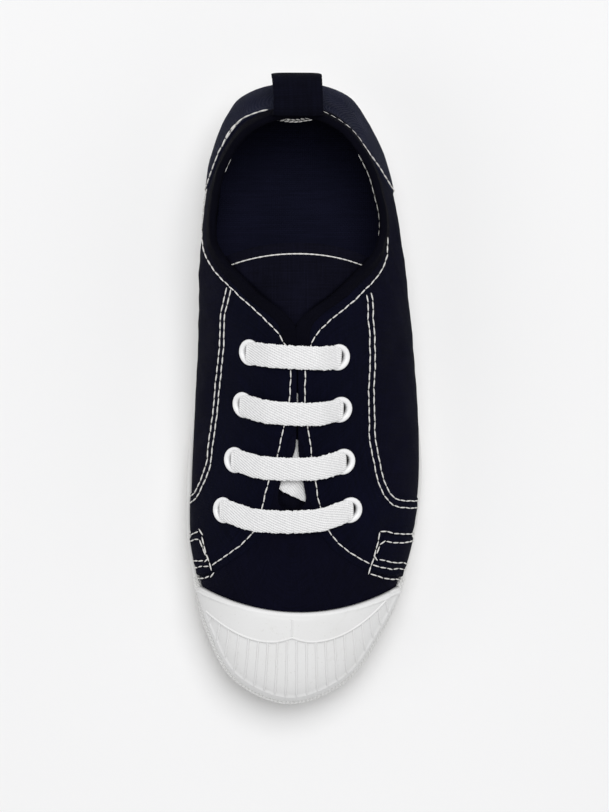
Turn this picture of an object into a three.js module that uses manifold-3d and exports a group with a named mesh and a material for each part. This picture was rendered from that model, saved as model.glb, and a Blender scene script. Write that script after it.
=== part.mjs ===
// Low canvas sneaker for the left foot: a hollow canvas upper on a rubber sole, with a ribbed toe cap,
// a side strip all round, eight eyelets, four straight lace bars, a tongue and a pull loop at the heel.
//
// Millimetres.  +Z is up, the toe points along -Y and +X is the outer (little toe) side.
// The origin is on the floor under the middle of the heel.
//
// The upper is one function, skin(u, v).  u goes round the shoe from the middle of the heel, forward
// along the outer side, round the toe and back along the inner side.  v climbs from the sole (0) past
// the top of the side strip (STRIP_V) and the widest line (1) to the edge of the collar and throat (2).
import * as THREE from 'three';
import { mergeVertices } from 'three/addons/utils/BufferGeometryUtils.js';
import Module from 'manifold-3d';

const wasm = await Module();
wasm.setup();

// ---- driving dimensions ----------------------------------------------------------------------
const GAP = 0.3;                 // between pieces that meet
const WALL = 1.8;                // canvas with its lining
const SPANS = 4;                 // columns between two sections

const OUTSOLE_TOP = 5.5;         // above the floor where the sole lies flat
const TOE_SPRING = 7;
const SPRING_FROM = -148;        // y where the sole starts to rise
const TOE_END = -219;
const ARCH_RISE = 2;
const ARCH_FROM = -40;
const ARCH_TO = -98;
const TREAD_DEPTH = 1.6;
const TREAD_GROOVE = 3;
const TREAD_BORDER = 6;
const HEEL_GROOVES = { from: 17, to: -31, count: 5 };
const FOREFOOT_GROOVES = { from: -106, to: -196, count: 9 };

const STRIP_THICK = 2.2;         // side strip along the sides and heel
const BUMPER_THICK = 4.2;        // the same strip at the toe
const STRIP_TOP = 21;
const BUMPER_TOP = 26;
const BUMPER_FROM = -150;        // y where the strip starts to grow into the bumper
const BUMPER_LEAN = 1.6;
const STRIP_V = 0.5;

const FOOTBED_HEEL = 15;         // top of the insole under the heel and under the ball
const FOOTBED_BALL = 11;
const FOOTBED_DISH = 1;

const CAP_THICK = 1.8;
const CAP_GAP = 0.4;
const CAP_BACK = { y: -179.7, x: 2, curl: 0.0062 };   // back edge in plan, a parabola

const EYELET = { hole: 3, barrel: 0.5, flange: 5.3, thick: 1, bore_gap: 0.3 };
const LACE = { width: 9.6, thick: 1.3 };
const LACE_GAP = 0.6;            // lace above a flange
const LACE_LIFT = 1.2;            // lace above the canvas at the crown
const LOOP = { width: 19.5, thick: 1.5 };

// ---- tables ------------------------------------------------------------------------------------
const table = (columns, rows) => rows.map((row) => {
  const names = columns.split(' ');
  return Object.fromEntries(names.map((name, i) => [name, row[i]]));
});

// Widest line of the upper, one row for each section from the heel to the toe.
// tuck is how far the wall draws in from it, down to the sole.
const GIRTH = table('y inner outer z tuck', [
  [31.2, 0.6, 0.6, 35, 3.4],
  [26.8, -18.4, 19.2, 35, 3.5],
  [17.6, -26.8, 27.6, 36, 3.7],
  [0.5, -33.4, 36, 36, 3.7],
  [-21, -36.4, 41, 36, 3.9],
  [-40, -38, 44, 35, 4],
  [-58, -38.4, 46, 34, 4],
  [-76, -38.9, 47.8, 33, 3.4],
  [-99, -39.9, 49.6, 30, 2.2],
  [-120, -40.9, 50.3, 28, 0.9],
  [-144, -41.4, 48.3, 27.5, 0.6],
  [-168, -37.6, 42, 28.5, 0.3],
  [-189, -30.8, 31.2, 29, -0.2],
  [-205.4, -20.8, 18.6, 29.5, -0.8],
  [-213.4, -1.4, -1.4, 29.5, -1],
]);

// Edge of the collar, the throat corner and the slit.  in and out are the slope of the wall there in
// degrees, on the inner and outer side; rise and crown say how full the wall is above the widest line
// and below the edge.
const EDGE = table('y inner outer z in out rise crown', [
  [17.2, 0.6, 0.6, 64, 62, 62, 0.8, 0.7],
  [14.6, -12.6, 12.8, 63.2, 66, 66, 0.8, 0.7],
  [7.6, -22.9, 22.4, 61, 78, 86, 0.8, 0.7],
  [-6, -30.6, 30.8, 56.5, 92, 100, 0.8, 0.7],
  [-26, -33.8, 35.4, 52.5, 76, 100, 0.8, 0.7],
  [-39, -30.6, 31.6, 56.5, 64, 74, 0.8, 0.7],
  [-53, -17.4, 16.6, 67, 32, 32, 0.8, 0.75],
  [-70, -1.2, -0.4, 76, 10, 10, 0.8, 0.75],
  [-97.5, -0.35, 0.35, 69, 2, 2, 0.8, 0.75],
  [-113, -0.5, 0.4, 64.6, 2, 2, 0.8, 0.75],
  [-127, -6, 2.4, 60.9, 3, 3, 0.75, 0.8],
  [-134.5, -7.4, 3.6, 58.9, 8, 8, 0.66, 0.9],
  [-138, -6.2, 2.4, 57.9, 12, 12, 0.58, 1],
  [-139.6, -4.4, 0.6, 57.5, 15, 15, 0.52, 1.1],
  [-140, -1.9, -1.9, 57.4, 16, 16, 0.5, 1.15],
]);

// Tongue, from its sewn end under the vamp to its free top.  drop is how far its sides hang.
// Under the canvas it is pressed down where it would stand higher than the room below.
const TONGUE = table('y inner outer z drop', [
  [-147, -16, 12, 52, 4],
  [-139, -19, 15, 55, 5],
  [-120, -21, 19, 61, 8],
  [-97, -23, 23, 66.5, 11],
  [-72, -25.5, 25.5, 71.5, 14],
  [-52, -28, 28, 71, 16.5],
  [-35, -28.8, 28.8, 69.7, 18],
]);
const TONGUE_THICK = 2;
const TONGUE_ROOM = 1.7;         // between canvas and tongue, for the lace's hidden runs
const TONGUE_ARCH = 1.8;

// Lace rows from the throat corner to the toe: the two eyelet centres.
const LACE_ROWS = table('y_inner inner y_outer outer', [
  [-77, -18.2, -78.9, 15.6],
  [-97.5, -20.6, -99.3, 16.6],
  [-119.3, -23.9, -119.8, 18],
  [-139.2, -28.2, -139, 21],
]);

// Middle line of the pull loop's webbing, from the collar's edge up and over to the back.
const LOOP_LINE = table('y z', [
  [16.6, 65.2],
  [16.1, 68.4],
  [18.6, 71.2],
  [24.6, 71.8],
  [30, 69.6],
  [32, 64],
  [32.4, 55],
  [32.5, 44],
]);

// ---- small maths ---------------------------------------------------------------------------------
const mix = (a, b, t) => a + (b - a) * t;
const clamp01 = (t) => Math.min(1, Math.max(0, t));
const smooth = (t) => {
  const s = clamp01(t);
  return s * s * (3 - 2 * s);
};
const radians = (degrees) => degrees * Math.PI / 180;

// Cubic through two values with given slopes, t from 0 to 1.
function hermite(a, slopeA, b, slopeB, t) {
  const t2 = t * t;
  const t3 = t2 * t;
  return a * (2 * t3 - 3 * t2 + 1) + slopeA * (t3 - 2 * t2 + t)
    + b * (3 * t2 - 2 * t3) + slopeB * (t3 - t2);
}

// Slope at a value between two steps, limited so that the curve never runs past its values.
function easySlope(before, after) {
  if (before * after <= 0) return 0;
  const least = Math.min(Math.abs(before), Math.abs(after));
  const mean = (before + after) / 2;
  return Math.sign(mean) * Math.min(Math.abs(mean), 3 * least);
}

// A closed round of values read at any u.
function roundValue(values, u) {
  const n = values.length;
  const at = (k) => values[((k % n) + n) % n];
  const i = Math.floor(u);
  const slopeHere = easySlope(at(i) - at(i - 1), at(i + 1) - at(i));
  const slopeNext = easySlope(at(i + 1) - at(i), at(i + 2) - at(i + 1));
  return hermite(at(i), slopeHere, at(i + 1), slopeNext, u - i);
}

// The same for an open row of values; t runs from 0 to their number less one.
function rowValue(values, t) {
  const last = values.length - 1;
  const at = (k) => values[Math.min(last, Math.max(0, k))];
  const i = Math.min(last - 1, Math.floor(t));
  const slopeHere = easySlope(at(i) - at(i - 1), at(i + 1) - at(i)) || (at(i + 1) - at(i)) * (i === 0);
  const slopeNext = easySlope(at(i + 1) - at(i), at(i + 2) - at(i + 1))
    || (at(i + 1) - at(i)) * (i + 1 === last);
  return hermite(at(i), slopeHere, at(i + 1), slopeNext, t - i);
}

// ---- the upper's form ----------------------------------------------------------------------------
// Each column of a table becomes a closed round: outer side from heel to toe, then inner side back.
const SIDED = { x: ['outer', 'inner'], lean: ['out', 'in'] };
function roundOf(rows, name) {
  const [outerName, innerName] = SIDED[name] ?? [name, name];
  const outward = rows.map((row) => row[outerName]);
  const back = rows.slice(1, -1).reverse().map((row) => row[innerName]);
  return [...outward, ...back];
}

const girth = Object.fromEntries(['x', 'y', 'z', 'tuck'].map((n) => [n, roundOf(GIRTH, n)]));
const edge = Object.fromEntries(
  ['x', 'y', 'z', 'lean', 'rise', 'crown'].map((n) => [n, roundOf(EDGE, n)]));
const ROUND = girth.x.length;
const TOE_U = GIRTH.length - 1;

const spring = (y) => TOE_SPRING * clamp01((SPRING_FROM - y) / (SPRING_FROM - TOE_END)) ** 2;
const bumper = (y) => smooth((BUMPER_FROM - y) / 40);
const stripTop = (y) => mix(STRIP_TOP, BUMPER_TOP, bumper(y));
const stripThick = (y) => mix(STRIP_THICK, BUMPER_THICK, bumper(y));

// Outward direction of the widest line in plan.
function planNormal(u) {
  const step = 0.05;
  const dx = roundValue(girth.x, u + step) - roundValue(girth.x, u - step);
  const dy = roundValue(girth.y, u + step) - roundValue(girth.y, u - step);
  const length = Math.hypot(dx, dy);
  return { x: -dy / length, y: dx / length };
}

// Point at a distance outside the widest line in plan.
function outline(u, out) {
  const n = planNormal(u);
  return {
    x: roundValue(girth.x, u) + n.x * out,
    y: roundValue(girth.y, u) + n.y * out,
  };
}

// Canvas at its lower edge, and the outside of the strip around it.
const footLine = (u, out = 0) => outline(u, out - roundValue(girth.tuck, u));
function soleLine(u, out = 0) {
  const y = roundValue(girth.y, u);
  return footLine(u, GAP + stripThick(y) + out);
}

function lowerSkin(u, v) {
  const foot = footLine(u);
  const bottom = OUTSOLE_TOP + GAP + spring(foot.y);
  const top = stripTop(roundValue(girth.y, u)) + GAP;
  if (v <= STRIP_V) {
    return new THREE.Vector3(foot.x, foot.y, mix(bottom, top, v / STRIP_V));
  }
  const t = (v - STRIP_V) / (1 - STRIP_V);
  const swell = Math.sin(t * Math.PI / 2);
  const tuck = roundValue(girth.tuck, u);
  const place = outline(u, -tuck * (1 - swell));
  return new THREE.Vector3(place.x, place.y, mix(top, roundValue(girth.z, u), t));
}

function upperSkin(u, v) {
  const from = new THREE.Vector3(
    roundValue(girth.x, u), roundValue(girth.y, u), roundValue(girth.z, u));
  const to = new THREE.Vector3(
    roundValue(edge.x, u), roundValue(edge.y, u), roundValue(edge.z, u));
  const across = new THREE.Vector3(to.x - from.x, to.y - from.y, 0).normalize();
  const reach = from.distanceTo(to);
  const lean = radians(roundValue(edge.lean, u));
  const startZ = reach * roundValue(edge.rise, u);
  const end = across.multiplyScalar(Math.cos(lean)).setZ(Math.sin(lean))
    .multiplyScalar(reach * roundValue(edge.crown, u));
  const t = v - 1;
  return new THREE.Vector3(
    hermite(from.x, 0, to.x, end.x, t),
    hermite(from.y, 0, to.y, end.y, t),
    hermite(from.z, startZ, to.z, end.z, t));
}

const skin = (u, v) => (v <= 1 ? lowerSkin(u, v) : upperSkin(u, v));

function skinNormal(u, v) {
  const du = 0.02;
  const dv = 0.01;
  const along = skin(u + du, v).sub(skin(u - du, v));
  const up = skin(u, Math.min(2, v + dv)).sub(skin(u, Math.max(0, v - dv)));
  return up.cross(along).normalize();
}

// The form at a distance outside (or, negative, inside) the skin.  Below the strip's top the wall is
// upright, so that its lower edge stays level.
function offsetSkin(u, v, out) {
  if (v <= STRIP_V) {
    const place = footLine(u, out);
    return new THREE.Vector3(place.x, place.y, skin(u, v).z);
  }
  return skin(u, v).addScaledVector(skinNormal(u, v), out);
}

// u, v of the skin over a place in plan, found by closing in from a coarse search.
function overPlan(x, y) {
  const miss = (u, v) => {
    const p = skin(u, v);
    return Math.hypot(p.x - x, p.y - y);
  };
  let best = { u: 0, v: 1.5, miss: Infinity };
  for (let u = 0; u < ROUND; u += 0.5) {
    for (let v = 1.1; v < 2; v += 0.1) {
      const m = miss(u, v);
      if (m < best.miss) best = { u, v, miss: m };
    }
  }
  for (let step = 0.25; step > 1e-4; step /= 2) {
    for (const [du, dv] of [[1, 0], [-1, 0], [0, 0.4], [0, -0.4], [0, 0]]) {
      const u = best.u + du * step;
      const v = Math.min(2, best.v + dv * step);
      const m = miss(u, v);
      if (m < best.miss) best = { u, v, miss: m };
    }
  }
  return best;
}

// ---- making meshes ---------------------------------------------------------------------------------
function geometryOf(points, triangles) {
  const geometry = new THREE.BufferGeometry();
  const flat = points.flatMap((p) => [p.x, p.y, p.z]);
  geometry.setAttribute('position', new THREE.Float32BufferAttribute(flat, 3));
  geometry.setIndex(triangles);
  return geometry;
}

// Closed skin over a grid of points.  loopRows and loopColumns join the last row or column to the
// first; an open grid direction must be closed by its own points.
function gridGeometry(grid, loopRows, loopColumns) {
  const rows = grid.length;
  const columns = grid[0].length;
  const triangles = [];
  const id = (i, j) => (i % rows) * columns + (j % columns);
  for (let i = 0; i < rows - (loopRows ? 0 : 1); i += 1) {
    for (let j = 0; j < columns - (loopColumns ? 0 : 1); j += 1) {
      triangles.push(id(i, j), id(i, j + 1), id(i + 1, j + 1));
      triangles.push(id(i, j), id(i + 1, j + 1), id(i + 1, j));
    }
  }
  return { points: grid.flat(), triangles };
}

// Sections, each a closed round of points, joined in a row and shut by a fan at each end.
function sectionsGeometry(sections) {
  const { points, triangles } = gridGeometry(sections, false, true);
  const size = sections[0].length;
  const lastStart = (sections.length - 1) * size;
  for (let k = 1; k < size - 1; k += 1) {
    triangles.push(0, k + 1, k);
    triangles.push(lastStart, lastStart + k, lastStart + k + 1);
  }
  return geometryOf(points, triangles);
}

// A slab over a round outline: rings of points from the bottom up, shut below and above by rungs
// that join each outer column to the inner column beside it.
function slabGeometry(rings) {
  const { points, triangles } = gridGeometry(rings, false, true);
  const count = rings[0].length;
  const top = (rings.length - 1) * count;
  const half = count / 2;
  for (let k = 0; k < half; k += 1) {
    const a = k;
    const b = k + 1;
    const c = (count - k - 1) % count;
    const d = (count - k) % count;
    if (b !== c) {
      triangles.push(a, c, b);
      triangles.push(top + a, top + b, top + c);
    }
    if (a !== d) {
      triangles.push(a, d, c);
      triangles.push(top + a, top + c, top + d);
    }
  }
  return geometryOf(points, triangles);
}

function outwardFacing(geometry) {
  const p = geometry.getAttribute('position');
  const index = geometry.getIndex();
  let volume = 0;
  const [a, b, c] = [new THREE.Vector3(), new THREE.Vector3(), new THREE.Vector3()];
  for (let i = 0; i < index.count; i += 3) {
    a.fromBufferAttribute(p, index.getX(i));
    b.fromBufferAttribute(p, index.getX(i + 1));
    c.fromBufferAttribute(p, index.getX(i + 2));
    volume += a.dot(b.cross(c));
  }
  if (volume < 0) {
    const turned = Array.from(index.array);
    for (let i = 0; i < turned.length; i += 3) {
      [turned[i + 1], turned[i + 2]] = [turned[i + 2], turned[i + 1]];
    }
    geometry.setIndex(turned);
  }
  return geometry;
}

function solidOf(geometry) {
  const bare = geometry.clone();
  bare.deleteAttribute('normal');
  bare.deleteAttribute('uv');
  const merged = outwardFacing(mergeVertices(bare, 1e-4));
  return new wasm.Manifold(new wasm.Mesh({
    numProp: 3,
    vertProperties: new Float32Array(merged.getAttribute('position').array),
    triVerts: new Uint32Array(merged.getIndex().array),
  }));
}

function geometryFromSolid(solid) {
  const mesh = solid.getMesh();
  const geometry = new THREE.BufferGeometry();
  geometry.setAttribute('position', new THREE.BufferAttribute(mesh.vertProperties, 3));
  geometry.setIndex(new THREE.BufferAttribute(mesh.triVerts, 1));
  return geometry;
}

const columnsRound = Array.from({ length: ROUND * SPANS }, (_, k) => k / SPANS);

// ---- finishes --------------------------------------------------------------------------------------
const finish = (colour, roughness, metalness = 0) =>
  new THREE.MeshStandardMaterial({ color: colour, roughness, metalness });
const CANVAS = finish(0x14152a, 0.95);
const LINING = finish(0x191b30, 0.95);
const WEBBING = finish(0x121326, 0.85);
const RUBBER = finish(0xeceae4, 0.6);
const COTTON = finish(0xf3f2ee, 0.9);
const PAINT = finish(0xf0efeb, 0.35, 0.2);

const shoe = new THREE.Group();

function add(name, geometry, material) {
  const mesh = new THREE.Mesh(geometry, material);
  mesh.name = name;
  shoe.add(mesh);
  return mesh;
}

// ---- sole ------------------------------------------------------------------------------------------
// Width of the sole at a place along it, less the border that the tread keeps all round.
function treadSpan(y) {
  const outer = columnsRound.filter((u) => u <= TOE_U).map((u) => soleLine(u, -TREAD_BORDER));
  const inner = columnsRound.filter((u) => u >= TOE_U).map((u) => soleLine(u, -TREAD_BORDER));
  const nearest = (side) => side.reduce((a, b) => (Math.abs(b.y - y) < Math.abs(a.y - y) ? b : a)).x;
  return { from: nearest(inner), to: nearest(outer) };
}

function grooveAt(y) {
  const { from, to } = treadSpan(y);
  const box = new THREE.BoxGeometry(to - from, TREAD_GROOVE, 2 * TREAD_DEPTH);
  box.translate((from + to) / 2, y, spring(y));
  return solidOf(box);
}

function grooves({ from, to, count }) {
  return Array.from({ length: count }, (_, k) => grooveAt(mix(from, to, k / (count - 1))));
}

function archCut() {
  const half = (ARCH_FROM - ARCH_TO) / 2;
  const radius = (half * half + ARCH_RISE * ARCH_RISE) / (2 * ARCH_RISE);
  const drum = new THREE.CylinderGeometry(radius, radius, 140, 256);
  drum.rotateZ(Math.PI / 2);
  drum.translate(0, (ARCH_FROM + ARCH_TO) / 2, ARCH_RISE - radius);
  return solidOf(drum);
}

function outsole() {
  const ring = (inset, height) => columnsRound.map((u) => {
    const place = soleLine(u, -inset);
    return new THREE.Vector3(place.x, place.y, height + spring(place.y));
  });
  let solid = solidOf(slabGeometry([ring(1, 0), ring(0, 1), ring(0, OUTSOLE_TOP)]));
  for (const cut of [...grooves(HEEL_GROOVES), ...grooves(FOREFOOT_GROOVES), archCut()]) {
    solid = solid.subtract(cut);
  }
  return geometryFromSolid(solid);
}

function foxing() {
  const sections = columnsRound.map((u) => {
    const y = roundValue(girth.y, u);
    const lean = BUMPER_LEAN * bumper(y);
    const top = stripTop(y);
    const at = (out, height) => {
      const place = footLine(u, out);
      return new THREE.Vector3(place.x, place.y, height(place.y));
    };
    const level = (z) => () => z;
    const onSole = (placeY) => OUTSOLE_TOP + GAP + spring(placeY);
    const thick = GAP + stripThick(y);
    return [at(GAP, onSole), at(thick, onSole), at(thick - lean * 0.7, level(top - 1.2)),
      at(thick - lean - 0.7, level(top)), at(GAP, level(top))];
  });
  const { points, triangles } = gridGeometry(sections, true, true);
  return outwardFacing(geometryOf(points, triangles));
}

const footbed = (y) => mix(FOOTBED_BALL, FOOTBED_HEEL, smooth((y - SPRING_FROM) / 120)) + spring(y);

function insole() {
  const inside = -WALL - GAP;
  const ring = (out, height) => columnsRound.map((u) => {
    const place = footLine(u, out);
    return new THREE.Vector3(place.x, place.y, height(place.y));
  });
  const bottom = (y) => OUTSOLE_TOP + GAP + spring(y);
  return outwardFacing(slabGeometry([
    ring(inside, bottom),
    ring(inside, footbed),
    ring(inside - 9, (y) => footbed(y) - FOOTBED_DISH),
  ]));
}

// ---- upper -----------------------------------------------------------------------------------------
const SKIN_ROWS = [0, STRIP_V, 0.7, 1, 1.17, 1.35, 1.55, 1.78, 2];

const eyelets = LACE_ROWS.map((row) => ({
  inner: overPlan(row.inner, row.y_inner),
  outer: overPlan(row.outer, row.y_outer),
}));

// Position and turning that set a piece made around +Z on the skin.
function seat(place) {
  const normal = skinNormal(place.u, place.v);
  return {
    point: skin(place.u, place.v),
    normal,
    turn: new THREE.Quaternion().setFromUnitVectors(new THREE.Vector3(0, 0, 1), normal),
  };
}

function laceHole(place) {
  const { point, turn } = seat(place);
  const drill = new THREE.CylinderGeometry(
    EYELET.hole + EYELET.barrel + EYELET.bore_gap, EYELET.hole + EYELET.barrel + EYELET.bore_gap, 9, 18);
  drill.rotateX(Math.PI / 2);
  drill.applyQuaternion(turn);
  drill.translate(point.x, point.y, point.z);
  return solidOf(drill);
}

function upper() {
  const sections = columnsRound.map((u) => [
    ...SKIN_ROWS.map((v) => offsetSkin(u, v, 0)),
    ...[...SKIN_ROWS].reverse().map((v) => offsetSkin(u, v, -WALL)),
  ]);
  const { points, triangles } = gridGeometry(sections, true, true);
  let solid = solidOf(geometryOf(points, triangles));
  for (const pair of eyelets) {
    solid = solid.subtract(laceHole(pair.inner)).subtract(laceHole(pair.outer));
  }
  return geometryFromSolid(solid);
}

// ---- toe cap ---------------------------------------------------------------------------------------
// The cap lies between two forms a little outside the skin, from the strip's top back to its edge.
function capBackV(u) {
  const beyond = (v) => {
    const p = skin(u, v);
    return p.y - CAP_BACK.y - CAP_BACK.curl * (p.x - CAP_BACK.x) ** 2;
  };
  let low = STRIP_V + 0.08;
  let high = 2;
  if (beyond(low) > 0) return null;
  for (let k = 0; k < 30; k += 1) {
    const middle = (low + high) / 2;
    if (beyond(middle) > 0) high = middle;
    else low = middle;
  }
  return low;
}

function toeCap() {
  const steps = 10;
  const columns = [];
  for (let u = TOE_U - 4; u <= TOE_U + 4; u += 1 / SPANS) {
    const back = capBackV(u);
    if (back !== null && back > STRIP_V + 0.16) columns.push({ u, back });
  }
  const sections = columns.map(({ u, back }) => {
    const heights = Array.from({ length: steps + 1 }, (_, k) => mix(STRIP_V + 0.02, back, k / steps));
    return [
      ...heights.map((v) => offsetSkin(u, v, CAP_GAP + CAP_THICK)),
      ...heights.reverse().map((v) => offsetSkin(u, v, CAP_GAP)),
    ];
  });
  return outwardFacing(sectionsGeometry(sections));
}

// ---- tongue ----------------------------------------------------------------------------------------
// Highest place for the tongue's top face below the canvas; no limit where no canvas lies above.
function roomBelow(x, y) {
  const { u, v, miss } = overPlan(x, y);
  if (miss > 1) return Infinity;
  return skin(u, v).z - (WALL + TONGUE_ROOM) / Math.max(0.3, skinNormal(u, v).z);
}

function tongue() {
  const read = (name, t) => rowValue(TONGUE.map((row) => row[name]), t);
  const across = 12;
  const sections = [];
  for (let t = 0; t <= TONGUE.length - 1; t += 0.5) {
    const y = read('y', t);
    const middle = (read('inner', t) + read('outer', t)) / 2;
    const half = (read('outer', t) - read('inner', t)) / 2;
    const top = Array.from({ length: across + 1 }, (_, k) => {
      const w = mix(-1, 1, k / across);
      const x = middle + half * w;
      const arch = read('z', t) - read('drop', t) * Math.abs(w) ** TONGUE_ARCH;
      return new THREE.Vector3(x, y, Math.min(arch, roomBelow(x, y)));
    });
    const bottom = top.map((p) => new THREE.Vector3(p.x, p.y, p.z - TONGUE_THICK)).reverse();
    sections.push([...top, ...bottom]);
  }
  const { points, triangles } = gridGeometry(sections, false, true);
  const size = sections[0].length;
  const last = (sections.length - 1) * size;
  for (let k = 0; k < across; k += 1) {
    const [a, b, c, d] = [k, k + 1, size - 2 - k, size - 1 - k];
    triangles.push(a, c, b, a, d, c);
    triangles.push(last + a, last + b, last + c, last + a, last + c, last + d);
  }
  return outwardFacing(geometryOf(points, triangles));
}

// ---- eyelets, laces and loop -----------------------------------------------------------------------
function eyelet(place) {
  const { hole, barrel, flange, thick } = EYELET;
  const low = -WALL - 0.6;
  const profile = [
    [hole, low], [hole + barrel, low], [hole + barrel, GAP], [flange, GAP],
    [mix(hole, flange, 0.6), GAP + thick], [mix(hole, flange, 0.25), GAP + thick], [hole, low],
  ].map(([r, z]) => new THREE.Vector2(r, z));
  const ring = new THREE.LatheGeometry(profile, 18);
  ring.rotateX(Math.PI / 2);
  const { point, turn } = seat(place);
  ring.applyQuaternion(turn);
  ring.translate(point.x, point.y, point.z);
  ring.deleteAttribute('normal');
  ring.deleteAttribute('uv');
  return outwardFacing(mergeVertices(ring, 1e-3));
}

// A flat bar of lace from hole to hole, over the flanges and over the crown of the canvas.
function laceBar(pair) {
  const from = seat(pair.inner);
  const to = seat(pair.outer);
  const lift = GAP + EYELET.thick + LACE_GAP;
  const start = from.point.clone().addScaledVector(from.normal, lift);
  const end = to.point.clone().addScaledVector(to.normal, lift);
  const chord = start.clone().lerp(end, 0.5);
  const crown = overPlan(chord.x, chord.y);
  const rise = skin(crown.u, crown.v).z + LACE_LIFT - chord.z;
  const direction = end.clone().sub(start).normalize();
  const middleNormal = skinNormal(crown.u, crown.v);
  const sections = Array.from({ length: 11 }, (_, k) => {
    const t = k / 10;
    const hump = (4 * t * (1 - t)) ** 0.75;
    const p = start.clone().lerp(end, t);
    p.z += rise * hump;
    const side = t < 0.5 ? from.normal : to.normal;
    const up = side.clone().lerp(middleNormal, hump).normalize();
    const across = up.clone().cross(direction).normalize().multiplyScalar(LACE.width / 2);
    const over = up.multiplyScalar(LACE.thick);
    return [
      p.clone().sub(across), p.clone().add(across),
      p.clone().add(across).add(over), p.clone().sub(across).add(over),
    ];
  });
  return outwardFacing(sectionsGeometry(sections));
}

function pullLoop() {
  const steps = 30;
  const read = (name, k) => rowValue(
    LOOP_LINE.map((row) => row[name]), Math.min(steps, Math.max(0, k)) / steps * (LOOP_LINE.length - 1));
  const sections = Array.from({ length: steps + 1 }, (_, k) => {
    const along = new THREE.Vector2(
      read('y', k + 1) - read('y', k - 1), read('z', k + 1) - read('z', k - 1)).normalize();
    const corner = (x, out) => new THREE.Vector3(
      x, read('y', k) - along.y * out, read('z', k) + along.x * out);
    const [half, deep] = [LOOP.width / 2, LOOP.thick / 2];
    return [corner(-half, -deep), corner(half, -deep), corner(half, deep), corner(-half, deep)];
  });
  return outwardFacing(sectionsGeometry(sections));
}

// ---- the shoe --------------------------------------------------------------------------------------
add('outsole', outsole(), RUBBER);
add('foxing', foxing(), RUBBER);
add('insole', insole(), LINING);
add('upper', upper(), CANVAS);
add('tongue', tongue(), CANVAS);
add('toe_cap', toeCap(), RUBBER);
add('pull_loop', pullLoop(), WEBBING);
eyelets.forEach((pair, row) => {
  add(`eyelet_${row + 1}_inner`, eyelet(pair.inner), PAINT);
  add(`eyelet_${row + 1}_outer`, eyelet(pair.outer), PAINT);
  add(`lace_bar_${row + 1}`, laceBar(pair), COTTON);
});

export default shoe;
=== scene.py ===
# Low canvas sneaker for the left foot: dark navy canvas panels sewn in off-white thread, white ribbed
# toe cap and side strip, four straight lace bars, woven tongue and lining, webbing loop at the heel.
#
# Sizes are millimetres in the shoe's own frame: +Z up, toe towards -Y, +X the outer side, origin on the
# floor under the heel.  Meshes are written in metres.  The upper is one function, skin(u, v): u goes
# round the shoe from the heel along the outer side to the toe and back along the inner side, v climbs
# from the sole (0) past the side strip's top (STRIP_V) and the widest line (1) to the edge (2).
import math

import bpy
import numpy as np
from mathutils import Matrix, Vector
from mathutils.kdtree import KDTree


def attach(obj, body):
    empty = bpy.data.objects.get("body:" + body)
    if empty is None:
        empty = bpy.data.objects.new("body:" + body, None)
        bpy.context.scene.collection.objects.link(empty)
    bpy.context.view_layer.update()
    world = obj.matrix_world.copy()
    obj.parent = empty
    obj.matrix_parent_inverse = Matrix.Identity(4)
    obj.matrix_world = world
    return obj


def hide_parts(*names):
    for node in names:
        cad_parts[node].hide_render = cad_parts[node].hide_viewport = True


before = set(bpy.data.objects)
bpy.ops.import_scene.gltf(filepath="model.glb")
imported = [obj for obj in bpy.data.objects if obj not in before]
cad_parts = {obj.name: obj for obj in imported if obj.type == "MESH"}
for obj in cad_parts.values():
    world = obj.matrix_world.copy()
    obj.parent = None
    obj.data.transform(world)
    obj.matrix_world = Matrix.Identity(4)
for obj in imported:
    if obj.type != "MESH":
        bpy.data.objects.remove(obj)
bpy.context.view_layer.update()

MM = 0.001

# ---- driving sizes -------------------------------------------------------------------------------
GAP = 0.3
WALL = 1.8
OUTSOLE_TOP = 5.5
TOE_SPRING = 7.0
SPRING_FROM = -148.0
TOE_END = -219.0
ARCH_RISE = 2.0
ARCH_FROM = -40.0
ARCH_TO = -98.0
STRIP_THICK = 2.2
BUMPER_THICK = 4.2
STRIP_TOP = 21.0
BUMPER_TOP = 26.0
BUMPER_FROM = -150.0
BUMPER_LEAN = 1.6
BUMPER_RUN = 40.0            # length over which the strip swells into the bumper
STRIP_V = 0.5
UNDER_STRIP_V = STRIP_V - 0.03
LOW_V = 0.95                 # below this a seam's end is on its way down to the strip
FOOTBED_HEEL = 15.0
FOOTBED_BALL = 11.0
CAP_THICK = 1.8
CAP_GAP = 0.4
CAP_BACK_Y = -179.7
CAP_BACK_X = 2.0
CAP_CURL = 0.0062
TONGUE_THICK = 2.0
TONGUE_ROOM = 1.7
TONGUE_ARCH = 1.8
PANEL = 0.55                 # thickness of a canvas panel sewn on
STITCH_LENGTH = 3.65
STITCH_PITCH = 3.4
STITCH_WIDTH = 0.58
STITCH_HEIGHT = 0.6
THREAD_LIFT = 0.22           # a stitch's middle above the cloth it lies on
NEEDLE_GAP = 2.8             # between the two rows of the quarters' seams
SEED = 7


def table(columns, rows):
    """Rows of numbers as one array for each named column."""
    return {name: np.array([row[i] for row in rows], float) for i, name in enumerate(columns.split())}


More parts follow.
